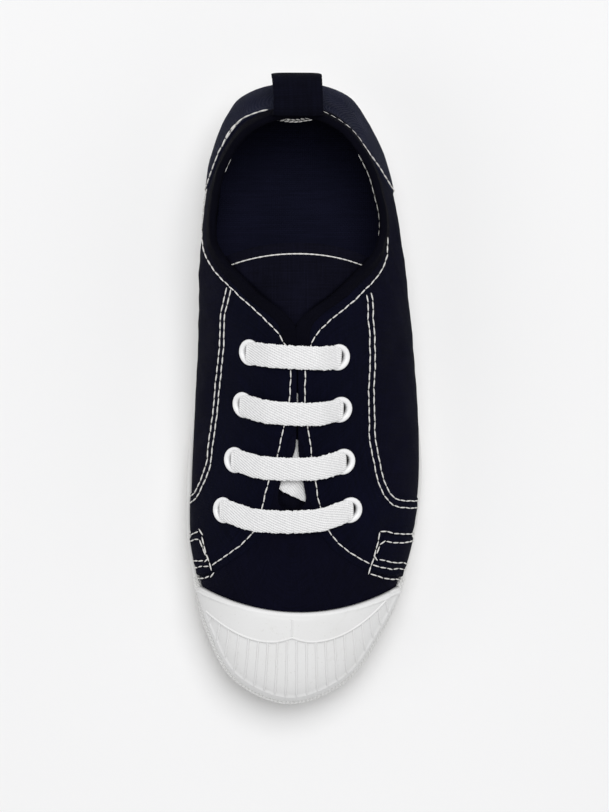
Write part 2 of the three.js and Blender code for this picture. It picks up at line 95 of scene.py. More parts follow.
# Widest line of the upper, a row for each section from heel to toe; tuck is how far the wall draws in.
GIRTH = table("y inner outer z tuck", [
    (31.2, 0.6, 0.6, 35, 3.4),
    (26.8, -18.4, 19.2, 35, 3.5),
    (17.6, -26.8, 27.6, 36, 3.7),
    (0.5, -33.4, 36, 36, 3.7),
    (-21, -36.4, 41, 36, 3.9),
    (-40, -38, 44, 35, 4),
    (-58, -38.4, 46, 34, 4),
    (-76, -38.9, 47.8, 33, 3.4),
    (-99, -39.9, 49.6, 30, 2.2),
    (-120, -40.9, 50.3, 28, 0.9),
    (-144, -41.4, 48.3, 27.5, 0.6),
    (-168, -37.6, 42, 28.5, 0.3),
    (-189, -30.8, 31.2, 29, -0.2),
    (-205.4, -20.8, 18.6, 29.5, -0.8),
    (-213.4, -1.4, -1.4, 29.5, -1),
])

# Edge of the collar, throat and slit; in and out are the wall's slope there in degrees on each side,
# and rise and crown say how full the wall is between the two lines.
EDGE = table("y inner outer z in out rise crown", [
    (17.2, 0.6, 0.6, 64, 62, 62, 0.8, 0.7),
    (14.6, -12.6, 12.8, 63.2, 66, 66, 0.8, 0.7),
    (7.6, -22.9, 22.4, 61, 78, 86, 0.8, 0.7),
    (-6, -30.6, 30.8, 56.5, 92, 100, 0.8, 0.7),
    (-26, -33.8, 35.4, 52.5, 76, 100, 0.8, 0.7),
    (-39, -30.6, 31.6, 56.5, 64, 74, 0.8, 0.7),
    (-53, -17.4, 16.6, 67, 32, 32, 0.8, 0.75),
    (-70, -1.2, -0.4, 76, 10, 10, 0.8, 0.75),
    (-97.5, -0.35, 0.35, 69, 2, 2, 0.8, 0.75),
    (-113, -0.5, 0.4, 64.6, 2, 2, 0.8, 0.75),
    (-127, -6, 2.4, 60.9, 3, 3, 0.75, 0.8),
    (-134.5, -7.4, 3.6, 58.9, 8, 8, 0.66, 0.9),
    (-138, -6.2, 2.4, 57.9, 12, 12, 0.58, 1),
    (-139.6, -4.4, 0.6, 57.5, 15, 15, 0.52, 1.1),
    (-140, -1.9, -1.9, 57.4, 16, 16, 0.5, 1.15),
])

TONGUE = table("y inner outer z drop", [
    (-147, -16, 12, 52, 4),
    (-139, -19, 15, 55, 5),
    (-120, -21, 19, 61, 8),
    (-97, -23, 23, 66.5, 11),
    (-72, -25.5, 25.5, 71.5, 14),
    (-52, -28, 28, 71, 16.5),
    (-35, -28.8, 28.8, 69.7, 18),
])

LACE_ROWS = table("y_inner inner y_outer outer", [
    (-77, -18.2, -78.9, 15.6),
    (-97.5, -20.6, -99.3, 16.6),
    (-119.3, -23.9, -119.8, 18),
    (-139.2, -28.2, -139, 21),
])

LOOP_LINE = table("y z", [
    (16.6, 65.2),
    (16.1, 68.4),
    (18.6, 71.2),
    (24.6, 71.8),
    (30, 69.6),
    (32, 64),
    (32.4, 55),
    (32.5, 44),
])


# ---- small maths ---------------------------------------------------------------------------------
def smooth(t):
    t = np.clip(t, 0, 1)
    return t * t * (3 - 2 * t)


def mix(a, b, t):
    return a + (b - a) * t


def ridge(distance, width):
    """1 on a line, falling softly to 0 at a width to each side."""
    return smooth(1 - np.abs(distance) / width)


def hermite(a, slope_a, b, slope_b, t):
    t2 = t * t
    t3 = t2 * t
    return (a * (2 * t3 - 3 * t2 + 1) + slope_a * (t3 - 2 * t2 + t)
            + b * (3 * t2 - 2 * t3) + slope_b * (t3 - t2))


def easy_slope(before, after):
    """Slope at a value between two steps, limited so that the curve never runs past its values."""
    least = np.minimum(np.abs(before), np.abs(after))
    mean = (before + after) / 2
    return np.where(before * after <= 0, 0, np.sign(mean) * np.minimum(np.abs(mean), 3 * least))


class Round:
    """A closed round of values, read at any u."""

    def __init__(self, values):
        self.values = values
        self.slopes = easy_slope(values - np.roll(values, 1), np.roll(values, -1) - values)

    def __call__(self, u):
        i = np.floor(u).astype(int)
        t = u - i
        i = i % len(self.values)
        j = (i + 1) % len(self.values)
        return hermite(self.values[i], self.slopes[i], self.values[j], self.slopes[j], t)


def read_row(values, t):
    """An open row of values read at t, from 0 to their number less one."""
    values = np.asarray(values, float)
    steps = np.diff(values)
    slopes = np.concatenate([[steps[0]], easy_slope(steps[:-1], steps[1:]), [steps[-1]]])
    i = np.clip(np.floor(t).astype(int), 0, len(values) - 2)
    return hermite(values[i], slopes[i], values[i + 1], slopes[i + 1], t - i)


UP = np.array([0, 0, 1.0])


def unit(v):
    return v / np.maximum(np.linalg.norm(v, axis=-1, keepdims=True), 1e-9)


# ---- the upper's form ----------------------------------------------------------------------------
SIDED = {"x": ("outer", "inner"), "lean": ("out", "in")}


def round_of(rows, name):
    outer, inner = SIDED.get(name, (name, name))
    return Round(np.concatenate([rows[outer], rows[inner][1:-1][::-1]]))


girth = {name: round_of(GIRTH, name) for name in ("x", "y", "z", "tuck")}
edge = {name: round_of(EDGE, name) for name in ("x", "y", "z", "lean", "rise", "crown")}
ROUND = len(girth["x"].values)
TOE_U = len(GIRTH["y"]) - 1


def spring(y):
    return TOE_SPRING * np.clip((SPRING_FROM - y) / (SPRING_FROM - TOE_END), 0, 1) ** 2


def bumper(y):
    return smooth((BUMPER_FROM - y) / BUMPER_RUN)


def strip_top(y):
    return mix(STRIP_TOP, BUMPER_TOP, bumper(y))


def strip_thick(y):
    return mix(STRIP_THICK, BUMPER_THICK, bumper(y))


def outline(u, out):
    """Point in plan at a distance outside the widest line."""
    step = 0.05
    dx = girth["x"](u + step) - girth["x"](u - step)
    dy = girth["y"](u + step) - girth["y"](u - step)
    length = np.hypot(dx, dy)
    return girth["x"](u) - dy / length * out, girth["y"](u) + dx / length * out


def foot_line(u, out=0.0):
    return outline(u, out - girth["tuck"](u))


def sole_line(u, out=0.0):
    return foot_line(u, GAP + strip_thick(girth["y"](u)) + out)


def skin(u, v):
    u, v = np.broadcast_arrays(np.asarray(u, float), np.asarray(v, float))
    foot_x, foot_y = foot_line(u)
    bottom = OUTSOLE_TOP + GAP + spring(foot_y)
    top = strip_top(girth["y"](u)) + GAP
    t = np.clip((v - STRIP_V) / (1 - STRIP_V), 0, 1)
    side_x, side_y = outline(u, -girth["tuck"](u) * (1 - np.sin(t * np.pi / 2)))
    side_z = np.where(v < STRIP_V, mix(bottom, top, v / STRIP_V), mix(top, girth["z"](u), t))
    start = np.stack([girth[n](u) for n in "xyz"], -1)
    end = np.stack([edge[n](u) for n in "xyz"], -1)
    across = end[..., :2] - start[..., :2]
    reach = np.linalg.norm(end - start, axis=-1)
    across = across / np.maximum(np.linalg.norm(across, axis=-1, keepdims=True), 1e-9)
    lean = np.radians(edge["lean"](u))
    pull = reach * edge["crown"](u)
    t = np.clip(v - 1, 0, 1)
    over = np.stack([
        hermite(start[..., 0], 0, end[..., 0], across[..., 0] * np.cos(lean) * pull, t),
        hermite(start[..., 1], 0, end[..., 1], across[..., 1] * np.cos(lean) * pull, t),
        hermite(start[..., 2], reach * edge["rise"](u), end[..., 2], np.sin(lean) * pull, t),
    ], -1)
    under = np.stack([side_x, side_y, side_z], -1)
    return np.where((v > 1)[..., None], over, under)


def skin_normal(u, v):
    u, v = np.broadcast_arrays(np.asarray(u, float), np.asarray(v, float))
    along = skin(u + 0.02, v) - skin(u - 0.02, v)
    up = skin(u, np.minimum(2, v + 0.01)) - skin(u, np.maximum(0, v - 0.01))
    return unit(np.cross(up, along))


def offset_skin(u, v, out):
    """The form at a distance outside the skin; upright below the strip's top."""
    u, v, out = np.broadcast_arrays(np.asarray(u, float), np.asarray(v, float), np.asarray(out, float))
    place = skin(u, v)
    raised = place + skin_normal(u, v) * out[..., None]
    foot_x, foot_y = foot_line(u, out)
    low = np.stack([foot_x, foot_y, place[..., 2]], -1)
    return np.where((v <= STRIP_V)[..., None], low, raised)


def tree_of(points):
    """A search tree over a set of places."""
    tree = KDTree(len(points))
    for number, place in enumerate(points):
        tree.insert(Vector(place), number)
    tree.balance()
    return tree


# A dense sample of the skin finds the u, v of any place near it.
SAMPLE_U, SAMPLE_V = (a.ravel() for a in np.meshgrid(
    np.arange(0, ROUND, 0.1), np.linspace(STRIP_V, 2, 61), indexing="ij"))
SAMPLE_POINTS = skin(SAMPLE_U, SAMPLE_V)
SAMPLE_TREE = tree_of(SAMPLE_POINTS)


def nearest_uv(points):
    """u, v of the skin nearest to each point, closed in on by a few Newton steps."""
    found = np.array([SAMPLE_TREE.find(Vector(p))[1] for p in points])
    u, v = SAMPLE_U[found].copy(), SAMPLE_V[found].copy()
    for _ in range(4):
        here = skin(u, v)
        du = (skin(u + 0.01, v) - skin(u - 0.01, v)) / 0.02
        high, low = np.minimum(2, v + 0.005), np.maximum(STRIP_V, v - 0.005)
        dv = (skin(u, high) - skin(u, low)) / (high - low)[:, None]
        miss = points - here
        a, b, c = (du * du).sum(-1), (du * dv).sum(-1), (dv * dv).sum(-1)
        p, q = (miss * du).sum(-1), (miss * dv).sum(-1)
        det = np.maximum(a * c - b * b, 1e-6)
        u = u + np.clip((c * p - b * q) / det, -0.1, 0.1)
        v = np.clip(v + np.clip((a * q - b * p) / det, -0.05, 0.05), STRIP_V, 2)
    return u, v


# ---- making meshes -------------------------------------------------------------------------------
def outward(faces, points):
    """The same faces, turned so that a closed form has a positive volume."""
    a, b, c = points[faces[:, 0]], points[faces[:, 1]], points[faces[:, 2]]
    volume = np.einsum("ij,ij->", a, np.cross(b, c))
    if faces.shape[1] == 4:
        d = points[faces[:, 3]]
        volume += np.einsum("ij,ij->", a, np.cross(c, d))
    return faces[:, ::-1] if volume < 0 else faces


def bare_mesh(name, points, edges=(), faces=()):
    """A mesh from millimetre points, still without materials."""
    mesh = bpy.data.meshes.new(name)
    mesh.from_pydata((np.asarray(points) * MM).tolist(), list(edges), list(faces))
    return mesh


def placed(name, data):
    """An object in the scene that holds a mesh, lamp or lens."""
    made = bpy.data.objects.new(name, data)
    bpy.context.scene.collection.objects.link(made)
    return made


def mesh_piece(name, points, faces, materials, face_material=None, uv=None):
    """An object from millimetre points and quads; uv holds a pair for each face corner."""
    mesh = bare_mesh(name, points, faces=[list(map(int, f)) for f in faces])
    for material in materials:
        mesh.materials.append(material)
    if face_material is not None:
        mesh.polygons.foreach_set("material_index", np.asarray(face_material, np.int32))
    if uv is not None:
        layer = mesh.uv_layers.new(name="cloth")
        layer.data.foreach_set("uv", np.asarray(uv, np.float32).ravel())
    mesh.polygons.foreach_set("use_smooth", np.ones(len(faces), bool))
    mesh.update()
    return placed(name, mesh)


def grid_faces(rows, columns, close_rows, close_columns):
    i = np.arange(rows if close_rows else rows - 1)
    j = np.arange(columns if close_columns else columns - 1)
    i, j = (a.ravel() for a in np.meshgrid(i, j, indexing="ij"))
    i2, j2 = (i + 1) % rows, (j + 1) % columns
    faces = np.stack([i * columns + j, i * columns + j2, i2 * columns + j2, i2 * columns + j], -1)
    return faces, i, j


def grid_piece(name, grid, materials, close_rows=False, close_columns=False, uv=None, row_material=None,
               caps=False):
    """A skin over a grid of points.  uv, when given, is one row and column longer in closed directions.
    caps shuts the first and last column's rings with a fan about their middle."""
    rows, columns = grid.shape[:2]
    points = grid.reshape(-1, 3)
    faces, i, j = grid_faces(rows, columns, close_rows, close_columns)
    corners = np.array([(0, 0), (0, 1), (1, 1), (1, 0)])
    uv_corners = None
    if uv is not None:
        uv_corners = uv[i[:, None] + corners[:, 0], j[:, None] + corners[:, 1]]
    slots = None if row_material is None else np.asarray(row_material)[i]
    if caps:
        faces, points, uv_corners, slots = cap_ends(faces, points, rows, columns, uv_corners, slots)
    turned = outward(faces, points) if (close_rows and (close_columns or caps)) else faces
    if turned is not faces and uv_corners is not None:
        uv_corners = uv_corners[:, ::-1]
    if caps:
        turned = [tuple(dict.fromkeys(f)) for f in turned.tolist()]
        if uv_corners is not None:
            uv_corners = np.concatenate([c[:len(f)] for c, f in zip(uv_corners, turned)])
    return mesh_piece(name, points, turned, materials, slots, uv_corners)


def cap_ends(faces, points, rows, columns, uv_corners, slots):
    """Adds a middle point and a fan to the first and last column of a grid with closed rows."""
    extra_faces = []
    grid = points.reshape(rows, columns, 3)
    for column, flip in ((0, False), (columns - 1, True)):
        middle = len(points)
        points = np.vstack([points, grid[:, column].mean(0)])
        ring = np.arange(rows) * columns + column
        nxt = np.roll(ring, -1)
        a, b = (nxt, ring) if flip else (ring, nxt)
        extra_faces.append(np.stack([a, b, np.full(rows, middle), np.full(rows, middle)], -1))
    extra = np.vstack(extra_faces)
    faces = np.vstack([faces, extra])
    if uv_corners is not None:
        uv_corners = np.concatenate([uv_corners, np.repeat(uv_corners[:1], len(extra), 0)])
    if slots is not None:
        slots = np.concatenate([slots, np.full(len(extra), slots[0])])
    return faces, points, uv_corners, slots


def arc_lengths(points):
    """Running length along the last axis but one of a row of points."""
    steps = np.linalg.norm(np.diff(points, axis=-2), axis=-1)
    start = np.zeros(points.shape[:-2] + (1,))
    return np.concatenate([start, np.cumsum(steps, -1)], -1)


def waves(points, size, seed=0.0):
    """Soft unevenness between -1 and 1, with swells of about this size in millimetres."""
    x, y, z = (points[..., k] / size * 2 * np.pi for k in range(3))
    return (np.sin(x + 0.7 * y + seed) * np.cos(0.8 * z - 0.4 * x + 1.7 * seed)
            + np.sin(1.3 * y - 0.6 * z + 2.1 * seed) * np.cos(0.9 * x + 0.5 * y - seed)) / 2


# ---- places on the shoe --------------------------------------------------------------------------
OVER = (SAMPLE_V >= 1.02)    # the part of the sample that is seen from above
PLAN_UV = np.stack([SAMPLE_U[OVER], SAMPLE_V[OVER]], -1)
PLAN_TREE = tree_of(SAMPLE_POINTS[OVER] * (1, 1, 0))


def over_plan(x, y):
    """u, v of the skin over places in plan, and how far each place is from it."""
    x, y = np.asarray(x, float), np.asarray(y, float)
    found = np.array([PLAN_TREE.find(Vector((a, b, 0)))[1] for a, b in zip(x, y)])
    u, v = PLAN_UV[found, 0].copy(), PLAN_UV[found, 1].copy()
    for _ in range(6):
        here = skin(u, v)[:, :2]
        du = (skin(u + 0.01, v) - skin(u - 0.01, v))[:, :2] / 0.02
        high, low = np.minimum(2, v + 0.005), np.maximum(1, v - 0.005)
        dv = (skin(u, high) - skin(u, low))[:, :2] / (high - low)[:, None]
        miss = np.stack([x, y], -1) - here
        det = du[:, 0] * dv[:, 1] - du[:, 1] * dv[:, 0]
        det = np.where(np.abs(det) < 1e-3, 1e-3, det)
        u = u + np.clip((miss[:, 0] * dv[:, 1] - miss[:, 1] * dv[:, 0]) / det, -0.15, 0.15)
        v = np.clip(v + np.clip((du[:, 0] * miss[:, 1] - du[:, 1] * miss[:, 0]) / det, -0.08, 0.08), 1, 2)
    here = skin(u, v)
    return u, v, np.hypot(here[:, 0] - x, here[:, 1] - y)


class Route:
    """A line on the skin through places given as x, y, z, smoothed and read by its length.

    The places are turned into u, v.  in_plan takes places over the foot as x, y alone, and on_uv takes
    u, v pairs as they are."""

    def __init__(self, places, on_uv=False, in_plan=False, rounding=30):
        places = np.array(places, float)
        if on_uv:
            u, v = places[:, 0], places[:, 1]
        elif in_plan:
            u, v, _ = over_plan(places[:, 0], places[:, 1])
            u = np.unwrap(u, period=ROUND)
        else:
            u, v = nearest_uv(places)
            u = np.unwrap(u, period=ROUND)
            # a seam that comes down to the side strip ends just under its top
            if v[0] < LOW_V:
                u, v = np.append(u[0], u), np.append(UNDER_STRIP_V, v)
            if v[-1] < LOW_V:
                u, v = np.append(u, u[-1]), np.append(v, UNDER_STRIP_V)
        t = np.linspace(0, len(u) - 1, 60 * (len(u) - 1) + 1)
        self.u, self.v = read_row(u, t), np.minimum(2, read_row(v, t))
        for _ in range(rounding):
            self.u[1:-1] = (self.u[:-2] + 2 * self.u[1:-1] + self.u[2:]) / 4
            self.v[1:-1] = (self.v[:-2] + 2 * self.v[1:-1] + self.v[2:]) / 4
        self.measure()

    def measure(self):
        self.points = skin(self.u, self.v)
        self.run = arc_lengths(self.points)
        self.length = self.run[-1]

    def uv_at(self, s):
        """u, v at lengths in millimetres from the start."""
        return np.interp(s, self.run, self.u), np.interp(s, self.run, self.v)

    def even(self, count):
        return self.uv_at(np.linspace(0, self.length, count))

    def moved(self, across):
        """The same line moved sideways on the skin: to the left of its direction, seen from outside."""
        side = np.interp(self.run, np.linspace(0, self.length, len(np.atleast_1d(across))),
                         np.atleast_1d(np.asarray(across, float)))
        along = unit(np.gradient(self.points, axis=0))
        left = unit(np.cross(skin_normal(self.u, self.v), along))
        u, v = nearest_uv(self.points + left * side[:, None])
        other = object.__new__(Route)
        other.u = np.unwrap(u, period=ROUND)
        other.u += ROUND * np.round((self.u[0] - other.u[0]) / ROUND)
        other.v = np.where(v < STRIP_V + 0.01, UNDER_STRIP_V, v)
        other.measure()
        return other


# Each seam of the upper as its stitch line, in places on the shoe, from the collar or throat downward.
QUARTER_OUTER = Route([
    (27.6, -48.6, 60.4), (29.1, -54.1, 57.7), (29.7, -62.7, 58.4), (30.2, -72, 58.9), (30.3, -81.8, 58.6),
    (30.3, -93.2, 57.1), (30.8, -108.5, 54.1), (32.2, -116.6, 51.9), (34.5, -126.9, 48.9),
    (37.6, -132.9, 45.7), (41, -135.3, 42.5), (46.5, -136, 36), (49.2, -136.1, 29.9), (49, -136.1, 24)])
QUARTER_INNER = Route([
    (-26.2, -46.5, 60.4), (-27.2, -51.7, 57.7), (-29.7, -64.2, 54), (-30.7, -82, 52.2),
    (-32.2, -97.4, 47.6), (-34.4, -114.4, 43.2), (-35.6, -122.1, 41.4), (-38.8, -131.1, 36),
    (-41.2, -134.2, 29.2), (-41.2, -134.6, 24)])
VAMP_OUTER = Route([
    (2.6, -76.5, 74.6), (2.8, -84.6, 72.7), (2.8, -95.3, 69.5), (4.1, -106.6, 66.2), (5.5, -115.8, 63.6),
    (7.1, -126.4, 60.7), (8.9, -136.4, 58.2), (12.2, -146.4, 55.1), (16.2, -151.6, 52.9),
    (21.8, -156.2, 50.1), (29.1, -160.4, 45.7), (36.5, -162.6, 39.5), (42.7, -163.3, 32.4),
    (43.2, -163.4, 25)])
VAMP_INNER = Route([
    (-2.6, -76.5, 74.8), (-2.7, -84.6, 72.8), (-3.1, -95.3, 69.4), (-4.9, -105.2, 66.3),
    (-7.4, -116.8, 62.8), (-10.5, -126.5, 60.4), (-13.3, -137.3, 57.6), (-16.7, -147.4, 54.3),
    (-21.5, -152.7, 51), (-26.8, -156.8, 46.9), (-32.8, -161.2, 40.7), (-37.6, -162.3, 32),
    (-38.4, -162.6, 25)])
COUNTER_OUTER = Route([
    (8.3, 18, 60.9), (14.4, 14.8, 60.3), (21.7, 9.7, 57.4), (27.8, 1.1, 51.8), (34.6, -6.8, 44.3),
    (38.4, -10.9, 38.8), (38.9, -12.6, 30), (37.8, -13, 22)])
COUNTER_INNER = Route([
    (-11.1, 18.6, 58.1), (-16.6, 17.1, 56.2), (-22, 14.5, 53.4), (-29.1, 4.3, 48.9), (-34.2, -8.6, 41.9),
    (-34.9, -12, 31), (-33.6, -12.6, 22)])
PATCH_OUTER = Route([
    (47.1, -149.2, 26), (47.1, -149.2, 29.8), (41, -148.9, 39.2), (32.9, -148.7, 46.2),
    (30.6, -158, 45.6), (28.8, -164, 44.9), (36, -166.6, 39.2), (41.3, -167.4, 32.5),
    (41.6, -167.4, 27)], rounding=6)
PATCH_OUTER_INSIDE = Route([
    (46.4, -152, 26), (46.2, -152.1, 30.7), (40, -152.3, 38.5), (33.8, -152.3, 44.9),
    (31.1, -158.1, 45.2), (37.6, -160, 39.6), (43.3, -160.8, 32.7), (43.8, -160.9, 26)], rounding=6)
PATCH_INNER = Route([
    (-40.4, -149.4, 26), (-40.4, -149.4, 31.6), (-37.1, -147.9, 38.3), (-35.2, -154.9, 39.5),
    (-33.2, -161.1, 40.3), (-32.3, -165.1, 40.3), (-35.8, -166.6, 34.5), (-37.7, -166.9, 30.3),
    (-37.9, -166.9, 27)], rounding=6)
PATCH_INNER_INSIDE = Route([
    (-40, -151.8, 26), (-40, -151.8, 32), (-37.2, -151.5, 37.4), (-34.3, -159.2, 39.5),
    (-39.1, -159.8, 30.7), (-39.2, -159.8, 26)], rounding=6)

# The collar's stitch line, which passes to the inside of the binding in two stretches.
COLLAR_HEEL = Route([(-10.6, 18.4), (-14.8, 17.5), (-21, 15.2), (-26.6, 9.4), (-28.9, 4.2)], in_plan=True)
COLLAR_INNER = Route([
    (-34.2, -11.8), (-35.6, -19), (-36.2, -26.4), (-34.6, -38.5), (-29, -47.6), (-20.5, -56.3),
    (-12, -64.6), (-6.2, -71.5), (-3.4, -76)], in_plan=True)
COLLAR_OUTER = Route([
    (35.9, -30.7), (35.6, -38.5), (31.5, -46.6), (24, -54.6), (15.5, -62), (9.2, -67.6), (5.3, -72.8),
    (3.6, -77)], in_plan=True)


# ---- folds in the cloth --------------------------------------------------------------------------
# Each fold is a line on the upper with a depth (a trough is negative) and a width, in millimetres.
FOLDS = [
    (-1.0, 7, [(30, -150, 46), (36, -146, 42), (44, -143, 34)]),
    (0.7, 6, [(24, -149, 52), (32, -143, 47), (41, -139.5, 39)]),
    (-0.7, 6, [(36, -118, 48), (41, -112, 44), (46, -108, 36)]),
    (0.6, 7, [(33, -104, 52), (40, -99, 47), (46.5, -96, 38)]),
    (-0.9, 8, [(33, -84, 55), (40, -76, 50), (45.5, -70, 42)]),
    (0.7, 8, [(32, -66, 56), (39, -58, 51), (44, -53, 42)]),
    (-0.8, 9, [(33, -40, 53), (39, -34, 47), (42.5, -30, 38)]),
    (-0.7, 6, [(-34, -102, 44), (-37.5, -110, 37), (-40, -114, 30)]),
    (0.6, 6, [(-33, -86, 49), (-37, -93, 42), (-39.5, -98, 33)]),
    (-0.8, 8, [(-33, -62, 50), (-37, -70, 43), (-39, -74, 34)]),
    (0.5, 6, [(-35, -38, 46), (-37.5, -44, 40), (-38.5, -48, 34)]),
    (-0.35, 9, [(-14, -156, 54), (-2, -161, 55), (12, -158, 54)]),
    (0.3, 8, [(-22, -166, 47), (-4, -170, 51), (18, -167, 49)]),
    (-0.6, 9, [(17, 22, 48), (24, 17, 42), (30, 10, 38)]),
    (0.5, 8, [(-14, 25, 47), (-22, 19, 43), (-28, 10, 38)]),
]


def line_distance(points, line):
    """Distance from each point to a line of places, and how far along it that is, from 0 to 1."""
    line = np.array(line, float)
    best = np.full(points.shape[:-1], 1e9)
    along = np.zeros(points.shape[:-1])
    for k in range(len(line) - 1):
        a, ab = line[k], line[k + 1] - line[k]
        t = np.clip(((points - a) @ ab) / (ab @ ab), 0, 1)
        d = np.linalg.norm(points - a - t[..., None] * ab, axis=-1)
        closer = d < best
        best = np.where(closer, d, best)
        along = np.where(closer, (k + t) / (len(line) - 1), along)
    return best, along


def fold_height(points):
    """How far the cloth stands out from, or sinks into, the plain form at each place."""
    height = 0.18 * waves(points, 17, 2.0) + 0.08 * waves(points, 7, 5.0)
    for depth, width, line in FOLDS:
        distance, along = line_distance(points, line)
        height += depth * np.exp(-(distance / width * 1.6) ** 2) * np.sin(np.pi * np.clip(along, 0.08, 0.92))
    sides = smooth((points[..., 2] - 24) / 10)
    return height * sides


STITCHED = [QUARTER_OUTER, QUARTER_INNER, VAMP_OUTER, VAMP_INNER, COUNTER_OUTER, COUNTER_INNER,
            PATCH_OUTER, PATCH_INNER]
seam_samples = np.vstack([r.points[::3] for r in STITCHED])
SEAM_TREE = tree_of(seam_samples)


def seam_pull(points):
    """The thread draws the cloth down along each seam, with small puckers beside it."""
    flat = points.reshape(-1, 3)
    near = np.array([SEAM_TREE.find(Vector(p))[2] for p in flat]).reshape(points.shape[:-1])
    pucker = 0.10 * waves(points, 4.5, 1.0) * ridge(near - 2.5, 3.5)
    return pucker - 0.22 * ridge(near, 2.0)


def cloth(u, v, out):
    """A place on the upper's cloth at a distance outside the plain form, folds and seams included."""
    base = skin(u, v)
    return offset_skin(u, v, out + fold_height(base) + seam_pull(base))


# ---- slabs: sheets with a thickness --------------------------------------------------------------
def slab_piece(name, top, under, materials, uv):
    """A closed sheet between two grids of the same size."""
    rows, columns = top.shape[:2]
    count = rows * columns
    points = np.vstack([top.reshape(-1, 3), under.reshape(-1, 3)])
    face, _, _ = grid_faces(rows, columns, False, False)
    border = np.concatenate([
        np.arange(columns), np.arange(2 * columns - 1, count, columns),
        np.arange(count - 2, count - columns - 1, -1), np.arange(count - 2 * columns, 0, -columns)])
    nxt = np.roll(border, -1)
    walls = np.stack([border, border + count, nxt + count, nxt], -1)
    faces = outward(np.vstack([face, face[:, ::-1] + count, walls]), points)
    corner_uv = np.vstack([uv.reshape(-1, 2)] * 2)[faces.ravel()]
    return mesh_piece(name, points, faces, materials, uv=corner_uv)


def eased_steps(width, inner_step):
    """Distances across a panel, close together at both borders, so that its edges can be rounded."""
    rim = np.array([0, 0.15, 0.4, 0.8])
    inner = np.linspace(1.2, width - 1.2, max(2, int((width - 2.4) / inner_step)))
    return np.concatenate([rim, inner, width - rim[::-1]]) / width


def rim_drop(distance):
    """How far the top of a panel falls beside its edge."""
    return 0.4 * (1 - smooth(distance / 0.55))


def panel(name, border_a, border_b, thick, material, step=1.4, base=0.0):
    """A sheet of canvas sewn on, ruled between two lines on the skin, each given as u, v arrays."""
    (ua, va), (ub, vb) = border_a, border_b
    width = np.linalg.norm(skin(ua, va) - skin(ub, vb), axis=-1)
    w = eased_steps(width.max(), step)[None, :]
    u = ua[:, None] + (ub - ua)[:, None] * w
    v = va[:, None] + (vb - va)[:, None] * w
    reach = w * width[:, None]
    edge_distance = np.minimum(reach, width[:, None] - reach)
    top = cloth(u, v, base + thick - rim_drop(edge_distance))
    under = cloth(u, v, np.full(u.shape, base - 0.35))
    run = arc_lengths(skin((ua + ub) / 2, (va + vb) / 2))
    uv = np.stack([np.broadcast_to(run[:, None], u.shape), reach], -1)
    return slab_piece(name, top, under, [material], uv)


# ---- node trees ----------------------------------------------------------------------------------
class Tree:
    """A short way to write a node tree: add() makes a node and fills its inputs by name or number."""

    def __init__(self, tree):
        self.tree = tree

    def link(self, value, socket):
        """Leads another node's output to a socket, or sets the socket to a plain value."""
        if isinstance(value, bpy.types.NodeSocket):
            self.tree.links.new(value, socket)
        else:
            socket.default_value = value

    def fill(self, node, inputs):
        for key, value in inputs.items():
            self.link(value, node.inputs[key])

    def add(self, kind, inputs=None, **settings):
        made = self.tree.nodes.new(kind)
        for key, value in settings.items():
            setattr(made, key, value)
        self.fill(made, inputs or {})
        return made

    def math(self, operation, a, b=0.0, c=0.0):
        return self.add("ShaderNodeMath", {0: a, 1: b, 2: c}, operation=operation).outputs[0]

    def ramp(self, value, low, high, to_low=0.0, to_high=1.0):
        return self.add("ShaderNodeMapRange", {0: value, 1: low, 2: high, 3: to_low, 4: to_high},
                        interpolation_type="SMOOTHSTEP").outputs[0]

    def noise(self, vector, scale, detail=2.0, roughness=0.5):
        made = self.add("ShaderNodeTexNoise", {"Vector": vector, "Scale": scale, "Detail": detail,
                                               "Roughness": roughness})
        return made.outputs["Fac"]

    def blend(self, factor, a, b):
        return self.add("ShaderNodeMix", {0: factor, 6: a, 7: b}, data_type="RGBA").outputs[2]


def shader_group(name, inputs, outputs):
    """A shader node group with named sockets; returns its tree, its input sockets and its output node."""
    tree = bpy.data.node_groups.new(name, "ShaderNodeTree")
    for label, kind, value in inputs:
        socket = tree.interface.new_socket(label, in_out="INPUT", socket_type="NodeSocket" + kind)
        if value is not None:
            socket.default_value = value
    for label, kind in outputs:
        tree.interface.new_socket(label, in_out="OUTPUT", socket_type="NodeSocket" + kind)
    t = Tree(tree)
    return t, t.add("NodeGroupInput").outputs, t.add("NodeGroupOutput").inputs


def woven_cloth():
    """Plain weave over a vector in millimetres: thread tops as Height, thread to thread change as Shade."""
    t, given, out = shader_group("woven cloth", [
        ("Vector", "Vector", None), ("Thread", "Float", 0.55), ("Weft Share", "Float", 0.5)],
        [("Height", "Float"), ("Shade", "Float")])
    split = t.add("ShaderNodeSeparateXYZ", {0: given["Vector"]}).outputs
    across = t.math("DIVIDE", split[0], given["Thread"])
    along = t.math("DIVIDE", split[1], given["Thread"])
    wave_a = t.math("SINE", t.math("MULTIPLY", across, math.pi))
    wave_b = t.math("SINE", t.math("MULTIPLY", along, math.pi))
    over = t.ramp(t.math("MULTIPLY", wave_a, wave_b), -0.15, 0.15)
    warp = t.math("POWER", t.math("ABSOLUTE", wave_a), 0.6)
    weft = t.math("POWER", t.math("ABSOLUTE", wave_b), 0.6)
    t.link(t.add("ShaderNodeMix", {0: over, 2: weft, 3: warp}).outputs[0], out["Height"])
    thread = t.add("ShaderNodeCombineXYZ", {0: t.math("FLOOR", across), 1: t.math("MULTIPLY", along, 0.05)})
    pick = t.add("ShaderNodeCombineXYZ", {0: t.math("MULTIPLY", across, 0.05), 1: t.math("FLOOR", along)})
    slubs = t.add("ShaderNodeMix", {0: given["Weft Share"], 2: t.noise(thread.outputs[0], 0.9, 1),
                                    3: t.noise(pick.outputs[0], 0.9, 1)}).outputs[0]
    t.link(slubs, out["Shade"])
    return t.tree


